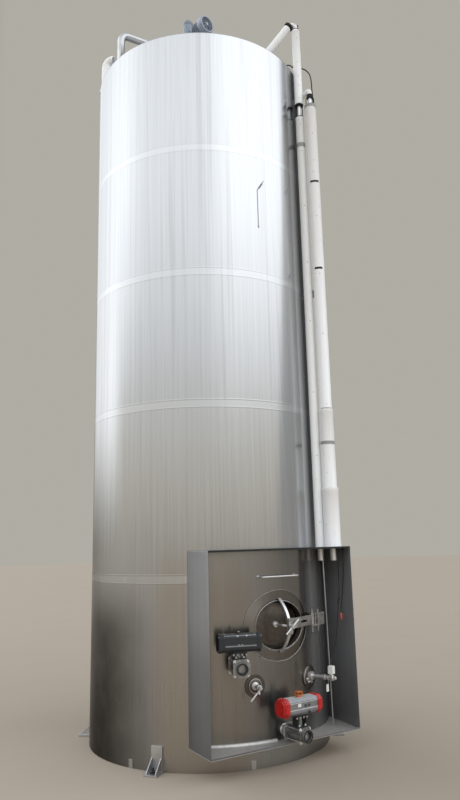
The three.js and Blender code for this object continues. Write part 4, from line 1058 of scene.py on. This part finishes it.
def add_manway():
    wide, tall = MANWAY_RING
    bore_wide, bore_tall = MANWAY_BORE
    neck_wide, neck_tall = NECK[0] - 0.0005, NECK[1] - 0.0005
    ring = Piece().oval_turned([
        (1.030, wide, tall), (ON_WALL, wide, tall), (ON_WALL, wide - 0.004, tall - 0.004),
        (1.106, bore_wide + 0.025, bore_tall + 0.025), (1.106, bore_wide + 0.008, bore_tall + 0.008),
        (1.1035, bore_wide + 0.002, bore_tall + 0.002), (1.100, bore_wide, bore_tall),
        (1.014, bore_wide, bore_tall), (1.012, bore_wide - 0.002, bore_tall - 0.002),
        (1.012, 0.198, 0.158), (1.010, 0.196, 0.156), (0.996, 0.196, 0.156), (0.996, neck_wide, neck_tall),
        (1.030, neck_wide, neck_tall),
    ], closed=True)
    ring.finish("manway_ring", "sheet_steel", replaces=["manway_frame"])
    rims = Piece()
    rims.tube(manway_oval(ON_WALL, wide - 0.002, tall - 0.002), 0.0015, 8, closed=True)
    rims.tube(manway_oval(1.1055, bore_wide + 0.005, bore_tall + 0.005), 0.0022, 8, closed=True)
    rims.finish("manway_rims", "dressed_weld")
    gasket = Piece().oval_turned([
        (1.012, 0.2145, 0.1825), (1.0126, 0.2145, 0.1825), (1.018, 0.2165, 0.1845), (1.021, 0.2135, 0.1815),
        (1.021, 0.2095, 0.1775), (1.012, 0.2095, 0.1775),
    ], closed=True)
    gasket.finish("manway_gasket", "black_rubber", body="manway")

    back, front = 1.0245, 1.0262
    shares = [step / 12 for step in range(13)]
    dish = [(back - 0.0115 * share ** 2, share * 0.84) for share in shares]
    dish += [(1.0128, 0.90), (1.0128, 0.985), (1.0145, 1.0), (back, 1.0), (front, 0.985), (front, 0.86)]
    dish += [(front + 0.0125 * (1 - share ** 2), share * 0.84) for share in reversed(shares)]
    # The lid's dark steel is painted shade, standing in for the dark surroundings the dished lid reflects
    lid = Piece().oval_turned([(distance, share * 0.211, share * 0.179) for distance, share in dish])
    lid.finish("manway_lid", "worn_steel", body="manway", replaces=["manway_door"])
    stud = Piece(spot=(MANWAY_X, -STUD_FOOT, MANWAY_Z))
    stud.turned([(0, 0), (0, 0.027), (0.006, 0.0255), (0.012, 0.024), (0.022, 0.024), (0.024, 0.022),
                 (0.024, 0)], ORIGIN, OUTWARD, 36)
    thread = [(0.02, 0), (0.02, 0.009)]
    for step in range(45):
        crest = 0.12 + 0.0032 * step
        thread += [(crest, 0.009), (crest + 0.001, 0.0078), (crest + 0.002, 0.009)]
    thread += [(0.2645, 0.009), (0.266, 0.0075), (0.266, 0)]
    stud.turned(thread, ORIGIN, OUTWARD, 24)
    stud.finish("manway_stud", "polished_steel", body="manway")

    refined("manway_bow", "manway_yoke", "polished_steel", "manway", 0.0025, 30)
    refined("manway_arm", "manway_hinge_arm", "cast_steel", "manway", 0.002)
    refined("manway_bracket", "manway_hinge_bracket", "cast_steel")

    handle = Piece(spot=(MANWAY_X, -HANDLE_FOOT, MANWAY_Z))
    handle.turned([(0, 0.0105), (0, 0.0165), (0.0015, 0.0175), (0.010, 0.0175), (0.014, 0.0158),
                   (0.034, 0.0158), (0.038, 0.0138), (0.038, 0.0105)], ORIGIN, OUTWARD, 36, closed=True)
    slope = math.radians(40)
    middle = Vector((0, -0.022, 0))
    for sign in (-1, 1):
        along = sign * Vector((math.cos(slope), 0, math.sin(slope)))
        handle.rod(middle + along * 0.014, middle + along * 0.085, 0.008, 20, chamfer=0.0015)
        handle.turned([(0, 0.0095), (0.003, 0.0105), (0.007, 0.0105), (0.010, 0.0092)],
                      middle + along * 0.014, along, 20)
    handle.finish("manway_tommy_bar", "polished_steel", body="manway_handle", replaces=["manway_handle"])


# Ball valves and their actuators


def add_ball_valve(name, node, azimuth, z, start, end, bore, flange, top):
    """A three piece ball valve with square ends, seen from its open port."""
    place = turned_to(azimuth), (0, 0, z)
    stem = Matrix.Translation((0, -VALVE_CENTRE, 0))
    front = end - 0.040
    length = front - start
    body = Piece(*place)
    for face in (start, front):
        body.prism(octagon(flange, flange, flange * 0.5), -face - 0.016, -face, "y")
    body.turned([(0, flange * 0.78), (0.02, flange * 0.84), (length - 0.036, flange * 0.84),
                 (length - 0.016, flange * 0.78)], (0, -start - 0.010, 0), OUTWARD, 40)
    body.turned([(-0.004, 0), (-0.004, flange * 0.74), (0.010, flange * 0.74), (0.015, bore + 0.009),
                 (0.026, bore + 0.009), (0.030, bore + 0.014), (0.039, bore + 0.014),
                 (0.040, bore + 0.013), (0.040, bore), (-0.030, bore), (-0.030, 0)], (0, -front, 0), OUTWARD)
    high, foot = top - z, flange * 0.93
    body.placed(stem).turned([(flange * 0.6, 0.026), (flange * 1.05, 0.026), (flange * 1.1, 0.02),
                              (high, 0.02)], sides=28)
    body.finish(name, "dark_casting", replaces=[node], bevel=0.002)
    bracket = Piece(turned_to(azimuth), (0, -VALVE_CENTRE, z))
    bracket.block((-0.058, -0.036, high - 0.012), (0.058, 0.036, high))
    bracket.block((-0.050, -0.034, foot), (0.050, 0.034, foot + 0.010))
    for side in (-1, 1):
        bracket.block((side * 0.046, -0.032, foot), (side * 0.038, 0.032, high - 0.004))
    bracket.finish(f"{name}_bracket", "black_coat", bevel=0.001)
    bolts = Piece(*place)
    reach = flange * 0.72
    for x, height in product((-reach, reach), repeat=2):
        bolts.rod((x, -start - 0.01, height), (x, -front + 0.01, height), 0.005, 12)
        bolts.bolt((x, -front, height), OUTWARD, 0.017, reach=0.003)
        bolts.bolt((x, -start, height), (0, 1, 0), 0.017, reach=0.003)
    hung = bolts.placed(stem)
    for x in (-0.050, -0.018, 0.018, 0.050):
        hung.bolt((x, -0.030, high - 0.012), DOWN, 0.011, reach=0.005)
    for x in (-0.030, 0.030):
        hung.bolt((x, -0.030, foot + 0.010), UP, 0.011, reach=0.005)
    bolts.finish(f"{name}_bolts", "polished_steel")
    seal = Piece(*place)
    seal.ring((0, -end + 0.0005, 0), OUTWARD, bore - 0.001, bore + 0.0125, 0.002)
    seal.turned([(0, bore - 0.006), (0, bore + 0.0005), (0.052, bore + 0.0005), (0.052, bore - 0.002)],
                (0, -end + 0.066, 0), OUTWARD, closed=True)
    seal.finish(f"{name}_seal", "black_rubber")
    radius = bore * 1.12
    arc = [(height, width) for width, height in spokes(48, radius)[:12]]
    ball = Piece(*place).turned([(0, 0), *arc, (radius, 0)], (0, -end + 0.064, 0), OUTWARD)
    ball.finish(f"{name}_ball", "polished_steel")


def add_nozzle(name, node, azimuth, z, tube, flange, end):
    """A pipe stub with a flange and a weld where it leaves the wall."""
    weld = tube + 0.007
    stub = Piece(turned_to(azimuth), (0, 0, z)).turned([
        (BURIED, 0), (BURIED, weld), (TANK_RADIUS + 0.003, weld), (TANK_RADIUS + 0.009, tube),
        (end - 0.030, tube), (end - 0.024, flange * 0.78), (end - 0.019, flange * 0.9),
        (end - 0.018, flange), (end - 0.001, flange), (end, flange - 0.001), (end, 0),
    ], ORIGIN, OUTWARD)
    stub.finish(name, "polished_steel", replaces=[node])


def add_upper_valve():
    azimuth, z = UPPER_VALVE
    add_nozzle("upper_stub", "upper_nozzle", azimuth, z, 0.032, 0.062, 1.190)
    add_ball_valve("upper_ball_valve", "upper_valve", azimuth, z, 1.1903, 1.405, 0.033, 0.067, 0.908)
    place = turned_to(azimuth), (0, -VALVE_CENTRE, UPPER_DRIVE_HEIGHT)
    half, front = 0.139, -0.060
    drive = Piece(*place)
    drive.prism(octagon(0.060, 0.066, 0.022), -half, half, "x")
    drive.block((-half, front - 0.0035, -0.034), (half, front + 0.006, -0.027))
    drive.block((-half, front - 0.0015, 0.036), (half, front + 0.006, 0.043))
    drive.block((-0.042, -0.040, -0.0697), (0.042, 0.040, -0.040))
    for side in (-1, 1):
        drive.prism(octagon(0.064, 0.069, 0.024), side * 0.1385, side * 0.166, "x")
        drive.prism(octagon(0.058, 0.063, 0.022), side * 0.162, side * 0.170, "x")
    drive.turned([(0, 0.024), (0.008, 0.024), (0.010, 0.017), (0.018, 0.017), (0.018, 0.0)],
                 (0, 0, 0.060), UP, 32)
    drive.finish("upper_drive", "black_coat", replaces=["upper_actuator"], bevel=0.0022)
    rails = Piece(*place)
    rails.rod((-0.126, -0.047, 0.056), (0.126, -0.047, 0.056), 0.0045, 12)
    rails.block((-0.118, front - 0.003, -0.024), (0.130, front + 0.004, -0.014))
    rails.finish("upper_drive_rails", "grey_anodised", bevel=0.001)
    metal = Piece(*place)
    for side, depth, height in product((-1, 1), (-0.046, 0.046), (-0.050, 0.050)):
        metal.screw((side * 0.166, depth, height), (side, 0, 0), 0.0048, 0.004)
    for x in (-0.020, 0.052):
        metal.screw((x, -0.049, 0.055), (0, -1, 1), 0.0075, 0.003)
    for x in (-0.122, 0.122):
        metal.screw((x, -0.030, 0.0655), UP, 0.006, 0.004)
    for x in (-0.012, 0.014):
        metal.turned([(-0.002, 0.0062), (0.0015, 0.0062), (0.0015, 0.004), (-0.001, 0.004), (-0.001, 0)],
                     (x, front, -0.012), OUTWARD, 20)
    metal.turned([(0, 0.009), (0.004, 0.009), (0.004, 0)], (0, 0, 0.078), UP, 20)
    metal.finish("upper_drive_screws", "polished_steel")


def add_outlet_valve():
    azimuth, z = OUTLET
    add_nozzle("outlet_stub", "outlet_nozzle", azimuth, z, 0.038, 0.066, 1.178)
    add_ball_valve("outlet_ball_valve", "outlet_valve", azimuth, z, 1.1783, 1.392, 0.036, 0.060, 0.400)
    place = turned_to(azimuth), (0, -VALVE_CENTRE, OUTLET_DRIVE_HEIGHT)
    half, front, top = 0.1415, -0.062, 0.062
    drive = Piece(*place)
    drive.prism(octagon(top, top, 0.020), -0.142, 0.142, "x")
    drive.block((-0.142, front - 0.0025, -0.030), (0.142, front + 0.006, -0.025))
    drive.finish("outlet_drive", "grey_anodised", replaces=["outlet_actuator"], bevel=0.0018)
    # Painted highlights: a light cover on the top face and light strips on the two front ridges stand in for
    # the sky's reflection
    bright = Piece(*place)
    bright.block((-half, -0.041, 0.056), (half, 0.041, top + 0.0004))
    for low, high in ((-0.019, -0.013), (0.031, 0.035)):
        bright.block((-half, front - 0.003, low), (half, front + 0.006, high))
    bright.finish("outlet_drive_ridges", "bright_strip", bevel=0.0012)
    mount = Piece(*place)
    mount.block((-0.042, -0.040, -0.0677), (0.042, 0.040, -0.058))
    for x, depth in product((-0.034, 0.034), (-0.032, 0.032)):
        mount.bolt((x, depth, -0.0657), DOWN, 0.009)
    mount.finish("outlet_drive_mount", "black_rubber", bevel=0.001)
    black = Piece(*place)
    for name, side in (("left", -1), ("right", 1)):
        cap = Piece(*place)
        for half, chamfer, near, far in ((0.070, 0.030, 0.1423, 0.172), (0.066, 0.029, 0.168, 0.186),
                                         (0.058, 0.027, 0.182, 0.199)):
            cap.prism(octagon(half, half, chamfer), side * near, side * far, "x")
        cap.finish(f"outlet_drive_{name}_cap", "red_gloss", replaces=[f"outlet_actuator_{name}_cap"],
                   bevel=0.004)
        for depth, height in product((-0.05332, 0.05332), (0.0425, -0.0425)):
            black.screw((side * 0.1715, depth, height), (side, 0, 0), 0.0055, 0.006)
        black.screw((side * 0.195, 0, 0), (side, 0, 0), 0.008, 0.0038)
    for x, height in ((0.014, 0.006), (0.048, 0.006), (0.052, -0.044)):
        black.turned([(-0.002, 0.0105), (0.003, 0.0105), (0.003, 0.0065), (-0.001, 0.006), (-0.001, 0)],
                     (x, front, height), OUTWARD, 20)
    black.finish("outlet_drive_ports", "black_rubber")
    plate = Piece(*place).block((-0.062, front - 0.0012, 0.002), (-0.030, front + 0.002, 0.026))
    plate.finish("outlet_drive_plate", "white_plastic", bevel=0.0005)

    flag = Piece(*place)
    flag.rod((0, 0, top + CLEARANCE), (0, 0, top + 0.014), 0.020, 28)
    for low, high in ((0.012, 0.020), (0.034, 0.042)):
        flag.block((-0.025, -0.022, top + low), (0.025, 0.022, top + high))
    for x, y in product((-0.025, 0.019), (-0.022, 0.016)):
        flag.block((x, y, top + 0.018), (x + 0.006, y + 0.006, top + 0.036))
    flag.finish("outlet_flag", "orange_gloss", replaces=["outlet_indicator"], bevel=0.0012)
    core = Piece(*place).rod((0, 0, top + 0.018), (0, 0, top + 0.036), 0.0155, 28)
    core.finish("outlet_flag_core", "black_rubber")


# Small fittings


def add_sample_valve():
    azimuth, z = SAMPLE_VALVE
    place = turned_to(azimuth), (0, 0, z)
    # The pad reaches out wide in the dark steel: painted shade round the sampling valve
    disc = Piece(*place).turned([
        (BURIED + 0.01, 0), (BURIED + 0.01, 0.088), (1.100, 0.088), (1.103, 0.085), (1.103, 0.060),
        (1.110, 0.058), (1.112, 0.055), (1.112, 0),
    ], ORIGIN, OUTWARD, 64)
    disc.finish("sampling_disc", "worn_steel", replaces=["sample_valve"])
    body = Piece(*place)
    body.torus((0, -1.1115, 0), OUTWARD, 0.054, 0.0016, 64, 8)
    body.turned([(1.108, 0), (1.108, 0.030), (1.114, 0.030), (1.116, 0.025), (1.124, 0.024), (1.126, 0.016),
                 (1.165, 0.015), (1.167, 0.021), (1.198, 0.021), (1.200, 0.018), (1.212, 0.015),
                 (1.212, 0.006), (1.229, 0.006), (1.230, 0.005), (1.230, 0)], ORIGIN, OUTWARD)
    body.turned([(-0.004, 0.010), (-0.042, 0.010), (-0.046, 0.0115), (-0.048, 0.0105), (-0.048, 0.0075),
                 (-0.014, 0.0075), (-0.014, 0)], (0, -1.182, 0), UP, 28)
    body.finish("sampling_valve", "polished_steel")
    lever = Piece(*place)
    lever.turned([(0, 0.007), (0, 0.0125), (0.001, 0.013), (0.012, 0.013), (0.014, 0.0115), (0.014, 0.007)],
                 (0, -1.213, 0), OUTWARD, 28, closed=True)
    along = Vector((-1, 0, -1)).normalized()
    start = Vector((0, -1.220, 0)) + along * 0.010
    lever.rod(start, start + along * 0.045, 0.0042, 16)
    lever.turned([(0.040, 0.0045), (0.046, 0.0075), (0.108, 0.0082), (0.114, 0.0065), (0.115, 0.0)],
                 start, along, 24)
    lever.finish("sampling_lever", "polished_steel", body="sample_lever", replaces=["sample_valve_lever"])
    washer = Piece(*place).ring((0, -1.1655, 0), OUTWARD, 0.0085, 0.0165, 0.003, 36)
    washer.finish("sampling_washer", "black_rubber")


def add_sensor():
    azimuth, z = SENSOR
    place = turned_to(azimuth), (0, 0, z)
    disc_drop = -0.012
    # The pad is in the dark steel: painted shade round the probe
    disc = Piece(*place).turned([
        (BURIED, 0), (BURIED, 0.095), (1.103, 0.095), (1.106, 0.092), (1.106, 0.078), (1.109, 0.076),
        (1.111, 0.073), (1.111, 0),
    ], (0, 0, disc_drop), OUTWARD, 64)
    disc.finish("probe_disc", "worn_steel", replaces=["sensor_port"])
    port = Piece(*place)
    lip = [out_at(angle, 0.084) for angle in range(0, -121, -5)]
    port.tube([(x, -1.1065, disc_drop - y) for x, y in lip], 0.0022, 8)
    port.turned([(1.105, 0), (1.105, 0.036), (1.116, 0.036), (1.138, 0.034), (1.140, 0.017), (1.142, 0.015),
                 (1.239, 0.015), (1.240, 0.021), (1.261, 0.021), (1.262, 0.015), (1.284, 0.015),
                 (1.285, 0.019), (1.301, 0.019), (PROBE_HEAD, 0.017), (PROBE_HEAD, 0)], ORIGIN, OUTWARD)
    for angle in (-150, -115, 165):
        x, y = out_at(angle, 0.052)
        port.bolt((x, -1.110, -y), OUTWARD, 0.015, reach=0.004)
    port.finish("probe_port", "polished_steel")

    head_place = turned_to(azimuth), (0, -PROBE_HEAD, z)
    head = Piece(*head_place)
    head.turned([(CLEARANCE, 0), (CLEARANCE, 0.021), (0.002, 0.022), (0.034, 0.022), (0.036, 0.020),
                 (0.037, 0.0135), (0.056, 0.0135), (0.058, 0.0115), (0.058, 0)], ORIGIN, OUTWARD, 36)
    head.turned([(0.0, 0.012), (0.0315, 0.012)], (0, -0.018, 0), UP, 6)
    head.finish("probe_head", "polished_steel", replaces=["sensor_head"], bevel=0.0004)
    box = Piece(*head_place)
    box.block((-0.022, -0.040, 0.0323), (0.022, 0.004, 0.084))
    box.block((-0.0205, -0.0385, 0.082), (0.0205, 0.0025, 0.086))
    box.block((-0.022, -0.040, 0.0845), (0.022, 0.004, 0.094))
    box.rod((0, -0.018, 0.092), (0, -0.018, 0.098), 0.0105, 6)
    box.finish("probe_box", "white_plastic", replaces=["sensor_box"], bevel=0.0025)
    tag = Piece(*head_place)
    tag.torus((0, 0.010, 0), OUTWARD, 0.0205, 0.0012, 28, 8)
    tag.block((-0.013, 0.0095, -0.050), (-0.011, 0.0105, -0.015))
    tag.block((-0.045, 0.0092, -0.106), (-0.007, 0.0108, -0.048))
    tag.finish("probe_tag", "white_plastic", bevel=0.0004)


# Base


def add_anchors():
    wall, back = -TANK_RADIUS, -BURIED
    front = wall - 0.130
    gusset = [(back, 0.004), (front + 0.014, 0.004), (front + 0.014, 0.018), (wall - 0.014, 0.108),
              (back, 0.108)]
    for number, azimuth in enumerate(CHAIR_AZIMUTHS, 1):
        chair = Piece(turned_to(azimuth))
        chair.block((-0.058, front, 0.0), (0.058, back, 0.012))
        chair.block((-0.0475, wall - 0.014, 0.0), (0.0475, back, 0.190))
        for x in (-0.0395, 0.0395):
            chair.prism(gusset, x - 0.004, x + 0.004, "x")
        chair.finish(f"foot_chair_{number}", "dressed_weld", replaces=[f"anchor_chair_{number}"],
                     bevel=0.0012)
        bolt = Piece(turned_to(azimuth)).bolt((0, front + 0.055, 0.012), UP, 0.026, reach=0.018)
        bolt.finish(f"foot_bolt_{number}", "black_rubber")
    tabs = Piece()
    for azimuth in TAB_AZIMUTHS:
        tabs.placed(turned_to(azimuth)).block((-0.020, wall - 0.004, 0.0), (0.020, wall + 0.01, 0.065))
    tabs.finish("base_tabs", "dressed_weld", bevel=0.0008)


# Camera, light and floor


def add_camera():
    data = bpy.data.cameras.new("camera")
    data.sensor_width = 36.0
    data.lens = CAMERA_LENS
    data.clip_start = 0.05
    data.clip_end = 300.0
    camera = bpy.data.objects.new("camera", data)
    ahead, right = Vector(CAMERA_AHEAD).normalized(), Vector(CAMERA_RIGHT)
    right = (right - ahead * right.dot(ahead)).normalized()
    turn = Matrix((right, right.cross(ahead), -ahead)).transposed()
    camera.matrix_world = Matrix.Translation(CAMERA_PLACE) @ turn.to_4x4()
    bpy.context.scene.collection.objects.link(camera)
    bpy.context.scene.camera = camera


def add_world():
    """A soft sky over a darker horizon, with a grey backdrop and a dark flag behind the tank."""
    world = bpy.data.worlds.new("studio")
    bpy.context.scene.world = world
    world.use_nodes = True
    sky = Finish(world.node_tree, "Generated")
    x, y, z = sky.split()
    level = (z * 0.5 + 0.5).clamped()
    open_sky = sky.ramp(level, [
        (0.40, (0.100, 0.095, 0.085)), (0.48, (0.190, 0.180, 0.155)), (0.50, (0.210, 0.195, 0.165)),
        (0.515, (0.330, 0.310, 0.260)), (0.543, (0.370, 0.350, 0.300)), (0.572, (0.400, 0.385, 0.345)),
        (0.600, (0.460, 0.460, 0.450)), (0.615, (0.590, 0.595, 0.600)), (0.643, (0.650, 0.663, 0.676)),
        (0.669, (0.800, 0.820, 0.840)), (0.700, (0.870, 0.890, 0.915)), (0.750, (0.990, 1.015, 1.045)),
        (0.860, (0.930, 0.955, 0.990)), (0.930, (0.520, 0.540, 0.570)), (1.000, (0.400, 0.415, 0.440)),
    ])
    left_sky = sky.ramp(level, [
        (0.40, (0.100, 0.095, 0.085)), (0.50, (0.210, 0.195, 0.165)), (0.53, (0.400, 0.390, 0.360)),
        (0.56, (0.670, 0.670, 0.660)), (0.59, (0.920, 0.930, 0.940)), (0.75, (0.990, 1.020, 1.050)),
        (0.86, (0.900, 0.925, 0.960)), (0.930, (0.520, 0.540, 0.570)), (1.000, (0.400, 0.415, 0.440)),
    ])
    backdrop = sky.ramp(level, [
        (0.40, (0.060, 0.056, 0.050)), (0.413, (0.215, 0.208, 0.185)), (0.90, (0.215, 0.208, 0.185)),
        (0.96, (0.450, 0.465, 0.490)),
    ])
    grey = sky.ramp(level, [
        (0.50, (0.190, 0.188, 0.182)), (0.573, (0.215, 0.214, 0.210)), (0.65, (0.300, 0.300, 0.298)),
        (0.73, (0.370, 0.372, 0.375)), (0.80, (0.270, 0.272, 0.275)),
    ])
    flat = (x * x + y * y + 0.0001) ** 0.5

    def left_of(azimuth):
        """The sine of the angle in plan by which a direction lies left of an azimuth."""
        turn = math.radians(azimuth)
        return (y * math.cos(turn) - x * math.sin(turn)) / flat

    def toward(direction, low, high):
        """1 near a direction in plan, given the cosines where it starts and is full."""
        return ((x * direction[0] + y * direction[1]) / flat).over(low, high)

    before_left = left_of(80).under(-0.06, 0.06)
    glow = sky.mix(toward(LEFT_DIRECTION, 0.78, 0.97), open_sky, left_sky)
    glow = sky.mix(toward(FRONT_DIRECTION, 0.42, 0.97) * z.over(0.12, 0.28) * 0.26, glow, shade((0, 0, 0)))
    leaning = left_of(-17) + 0.56 - z * 0.95
    glow = sky.mix(leaning.over(-0.05, 0.05) * left_of(-60).over(-0.1, 0.1) * before_left, glow, grey)
    glow = sky.mix(left_of(-3).over(-0.12, 0.12) * before_left, glow, shade((0.040, 0.040, 0.040)))
    glow = sky.mix(left_of(30).over(-0.02, 0.02) * before_left, glow, backdrop)
    background = sky.node("ShaderNodeBackground", None, {"Color": glow, "Strength": 2.0})
    sky.node("ShaderNodeOutputWorld", None, {"Surface": background["Background"]})


def add_floor():
    floor = Piece().turned([(-0.004, 0), (-0.004, 60.0), (-0.001, 60.0), (-0.001, 0)], sides=96)
    made = shown("floor", floor.data("floor"), "smooth_floor")


# The add-on


class TankSizes(bpy.types.PropertyGroup):
    """Sizes of the dressing."""

    round_sides: IntProperty(name="Round sides", description="Facets round the tank's wall", default=224,
                             min=48, max=512)
    weld_band: FloatProperty(name="Weld band", description="Distance between the two beads of a girth seam",
                             default=0.068, unit="LENGTH", subtype="DISTANCE")
    cable_diameter: FloatProperty(name="Cable diameter", description="Thickness of the sensor cables",
                                  default=0.008, unit="LENGTH", subtype="DISTANCE")


def colour_property(name, description, default):
    return FloatVectorProperty(name=name, description=description, default=default, subtype="COLOR",
                               size=3, min=0.0, max=1.0)


class TankColours(bpy.types.PropertyGroup):
    """Colours of the finishes, as linear light."""

    steel: colour_property("Steel", "Sheet of the tank's jacket", (0.52, 0.53, 0.54))
    # Also the colour of the painted shade in the alcove and low on the back left
    grime_and_shade: colour_property("Grime", "Dirt on the lower sheet", (0.115, 0.100, 0.082))
    # Colour of the painted brownish reflection low on the wall's front left
    reflected_warmth: colour_property("Rust", "Warm tinge low on the wall's left", (0.40, 0.33, 0.25))
    plate: colour_property("Plate", "Folded plate of the alcove", (0.34, 0.35, 0.37))
    fitting: colour_property("Fitting", "Polished fittings", (0.58, 0.58, 0.57))
    dust: colour_property("Dust", "Dust on coated parts", (0.30, 0.28, 0.25))
    jacket: colour_property("Jacket", "White pipe jackets", (0.93, 0.94, 0.95))
    machine: colour_property("Machine paint", "Paint of the agitator's gearbox", (0.235, 0.285, 0.355))
    motor: colour_property("Motor paint", "Paint of the agitator's motor", (0.220, 0.225, 0.260))
    tape: colour_property("Tape", "Grey tape on the pipe jackets", (0.33, 0.34, 0.35))
    tray: colour_property("Tray", "Dusty tray of the alcove", (0.46, 0.45, 0.43))
    # Colour of the painted highlights on the tray's back and on the outlet drive
    strip: colour_property("Strip", "Bright strip along the tray's back", (0.66, 0.66, 0.64))
    # Painted shade: the dark tone of the manway's lid and of the pads behind the sampling valve and the probe
    worn: colour_property("Worn steel", "Dull steel of the manway's lid", (0.130, 0.112, 0.100))
    black: colour_property("Black", "Black coat, seals and cables", (0.014, 0.015, 0.017))
    grey: colour_property("Grey", "Grey actuator body", (0.30, 0.32, 0.34))
    red: colour_property("Red", "Actuator caps", (0.50, 0.020, 0.018))
    orange: colour_property("Orange", "Position indicator", (0.56, 0.155, 0.035))
    plastic: colour_property("Plastic", "White plastic parts", (0.72, 0.72, 0.70))
    pink: colour_property("Pink", "Cap of the spare cable", (0.46, 0.06, 0.055))
    floor: colour_property("Floor", "Studio floor", (0.385, 0.330, 0.265))


class TANK_OT_stage(bpy.types.Operator):
    """Set up the camera, the sky and the floor"""

    bl_idname = "tank.stage"
    bl_label = "Stage"

    def execute(self, context):
        context.scene.view_settings.view_transform = "Standard"
        add_camera()
        add_world()
        add_floor()
        return {"FINISHED"}


class TANK_OT_cables(bpy.types.Operator):
    """Hang the three cables and their glands"""

    bl_idname = "tank.cables"
    bl_label = "Cables"

    def execute(self, context):
        add_cables()
        return {"FINISHED"}


class TANK_OT_shell(bpy.types.Operator):
    """Build the wall's courses and the dressed welds between them"""

    bl_idname = "tank.shell"
    bl_label = "Shell"

    def execute(self, context):
        add_shell()
        return {"FINISHED"}


class TANK_OT_roof(bpy.types.Operator):
    """Build the roof with its vent and loop pipe"""

    bl_idname = "tank.roof"
    bl_label = "Roof"

    def execute(self, context):
        add_roof()
        return {"FINISHED"}


class TANK_OT_agitator(bpy.types.Operator):
    """Build the agitator's stand, gearbox and motor"""

    bl_idname = "tank.agitator"
    bl_label = "Agitator drive"

    def execute(self, context):
        add_agitator()
        return {"FINISHED"}


class TANK_OT_pipes(bpy.types.Operator):
    """Build the jacketed pipes with their bands, clamps and strap"""

    bl_idname = "tank.pipes"
    bl_label = "Pipes"

    def execute(self, context):
        add_pipes()
        return {"FINISHED"}


class TANK_OT_alcove(bpy.types.Operator):
    """Build the folded plates of the alcove and the hand bar in it"""

    bl_idname = "tank.alcove"
    bl_label = "Alcove"

    def execute(self, context):
        add_alcove()
        return {"FINISHED"}


class TANK_OT_manway(bpy.types.Operator):
    """Build the manway's ring, lid, bow, arm and screw handle"""

    bl_idname = "tank.manway"
    bl_label = "Manway"

    def execute(self, context):
        add_manway()
        return {"FINISHED"}


class TANK_OT_upper_valve(bpy.types.Operator):
    """Build the upper ball valve with its black actuator"""

    bl_idname = "tank.upper_valve"
    bl_label = "Upper valve"

    def execute(self, context):
        add_upper_valve()
        return {"FINISHED"}


class TANK_OT_outlet_valve(bpy.types.Operator):
    """Build the outlet ball valve with its grey and red actuator"""

    bl_idname = "tank.outlet_valve"
    bl_label = "Outlet valve"

    def execute(self, context):
        add_outlet_valve()
        return {"FINISHED"}


class TANK_OT_small_fittings(bpy.types.Operator):
    """Build the sampling valve and the probe"""

    bl_idname = "tank.small_fittings"
    bl_label = "Small fittings"

    def execute(self, context):
        add_sample_valve()
        add_sensor()
        return {"FINISHED"}


class TANK_OT_anchors(bpy.types.Operator):
    """Build the anchor chairs and tabs round the base"""

    bl_idname = "tank.anchors"
    bl_label = "Anchors"

    def execute(self, context):
        add_anchors()
        return {"FINISHED"}


STEPS = [
    TANK_OT_stage, TANK_OT_cables, TANK_OT_shell, TANK_OT_roof, TANK_OT_agitator, TANK_OT_pipes,
    TANK_OT_alcove, TANK_OT_manway, TANK_OT_upper_valve, TANK_OT_outlet_valve, TANK_OT_small_fittings,
    TANK_OT_anchors,
]


class TANK_PT_tools(bpy.types.Panel):
    """Lists the steps that dress the tank"""

    bl_idname = "TANK_PT_tools"
    bl_label = "Storage Tank"
    bl_space_type = "VIEW_3D"
    bl_region_type = "UI"
    bl_category = "Tank"

    def draw(self, context):
        for step in STEPS:
            self.layout.operator(step.bl_idname)
        for group in (context.scene.tank_sizes, context.scene.tank_colours):
            for name in group.bl_rna.properties.keys():
                if name not in ("rna_type", "name"):
                    self.layout.prop(group, name)


CLASSES = [TankSizes, TankColours, *STEPS, TANK_PT_tools]


def register():
    for known in CLASSES:
        bpy.utils.register_class(known)
    bpy.types.Scene.tank_sizes = PointerProperty(type=TankSizes)
    bpy.types.Scene.tank_colours = PointerProperty(type=TankColours)


def unregister():
    del bpy.types.Scene.tank_colours
    del bpy.types.Scene.tank_sizes
    for known in reversed(CLASSES):
        bpy.utils.unregister_class(known)


def main():
    register()
    for step in STEPS:
        group, operation = step.bl_idname.split(".")
        getattr(getattr(bpy.ops, group), operation)()


if __name__ == "__main__":
    main()
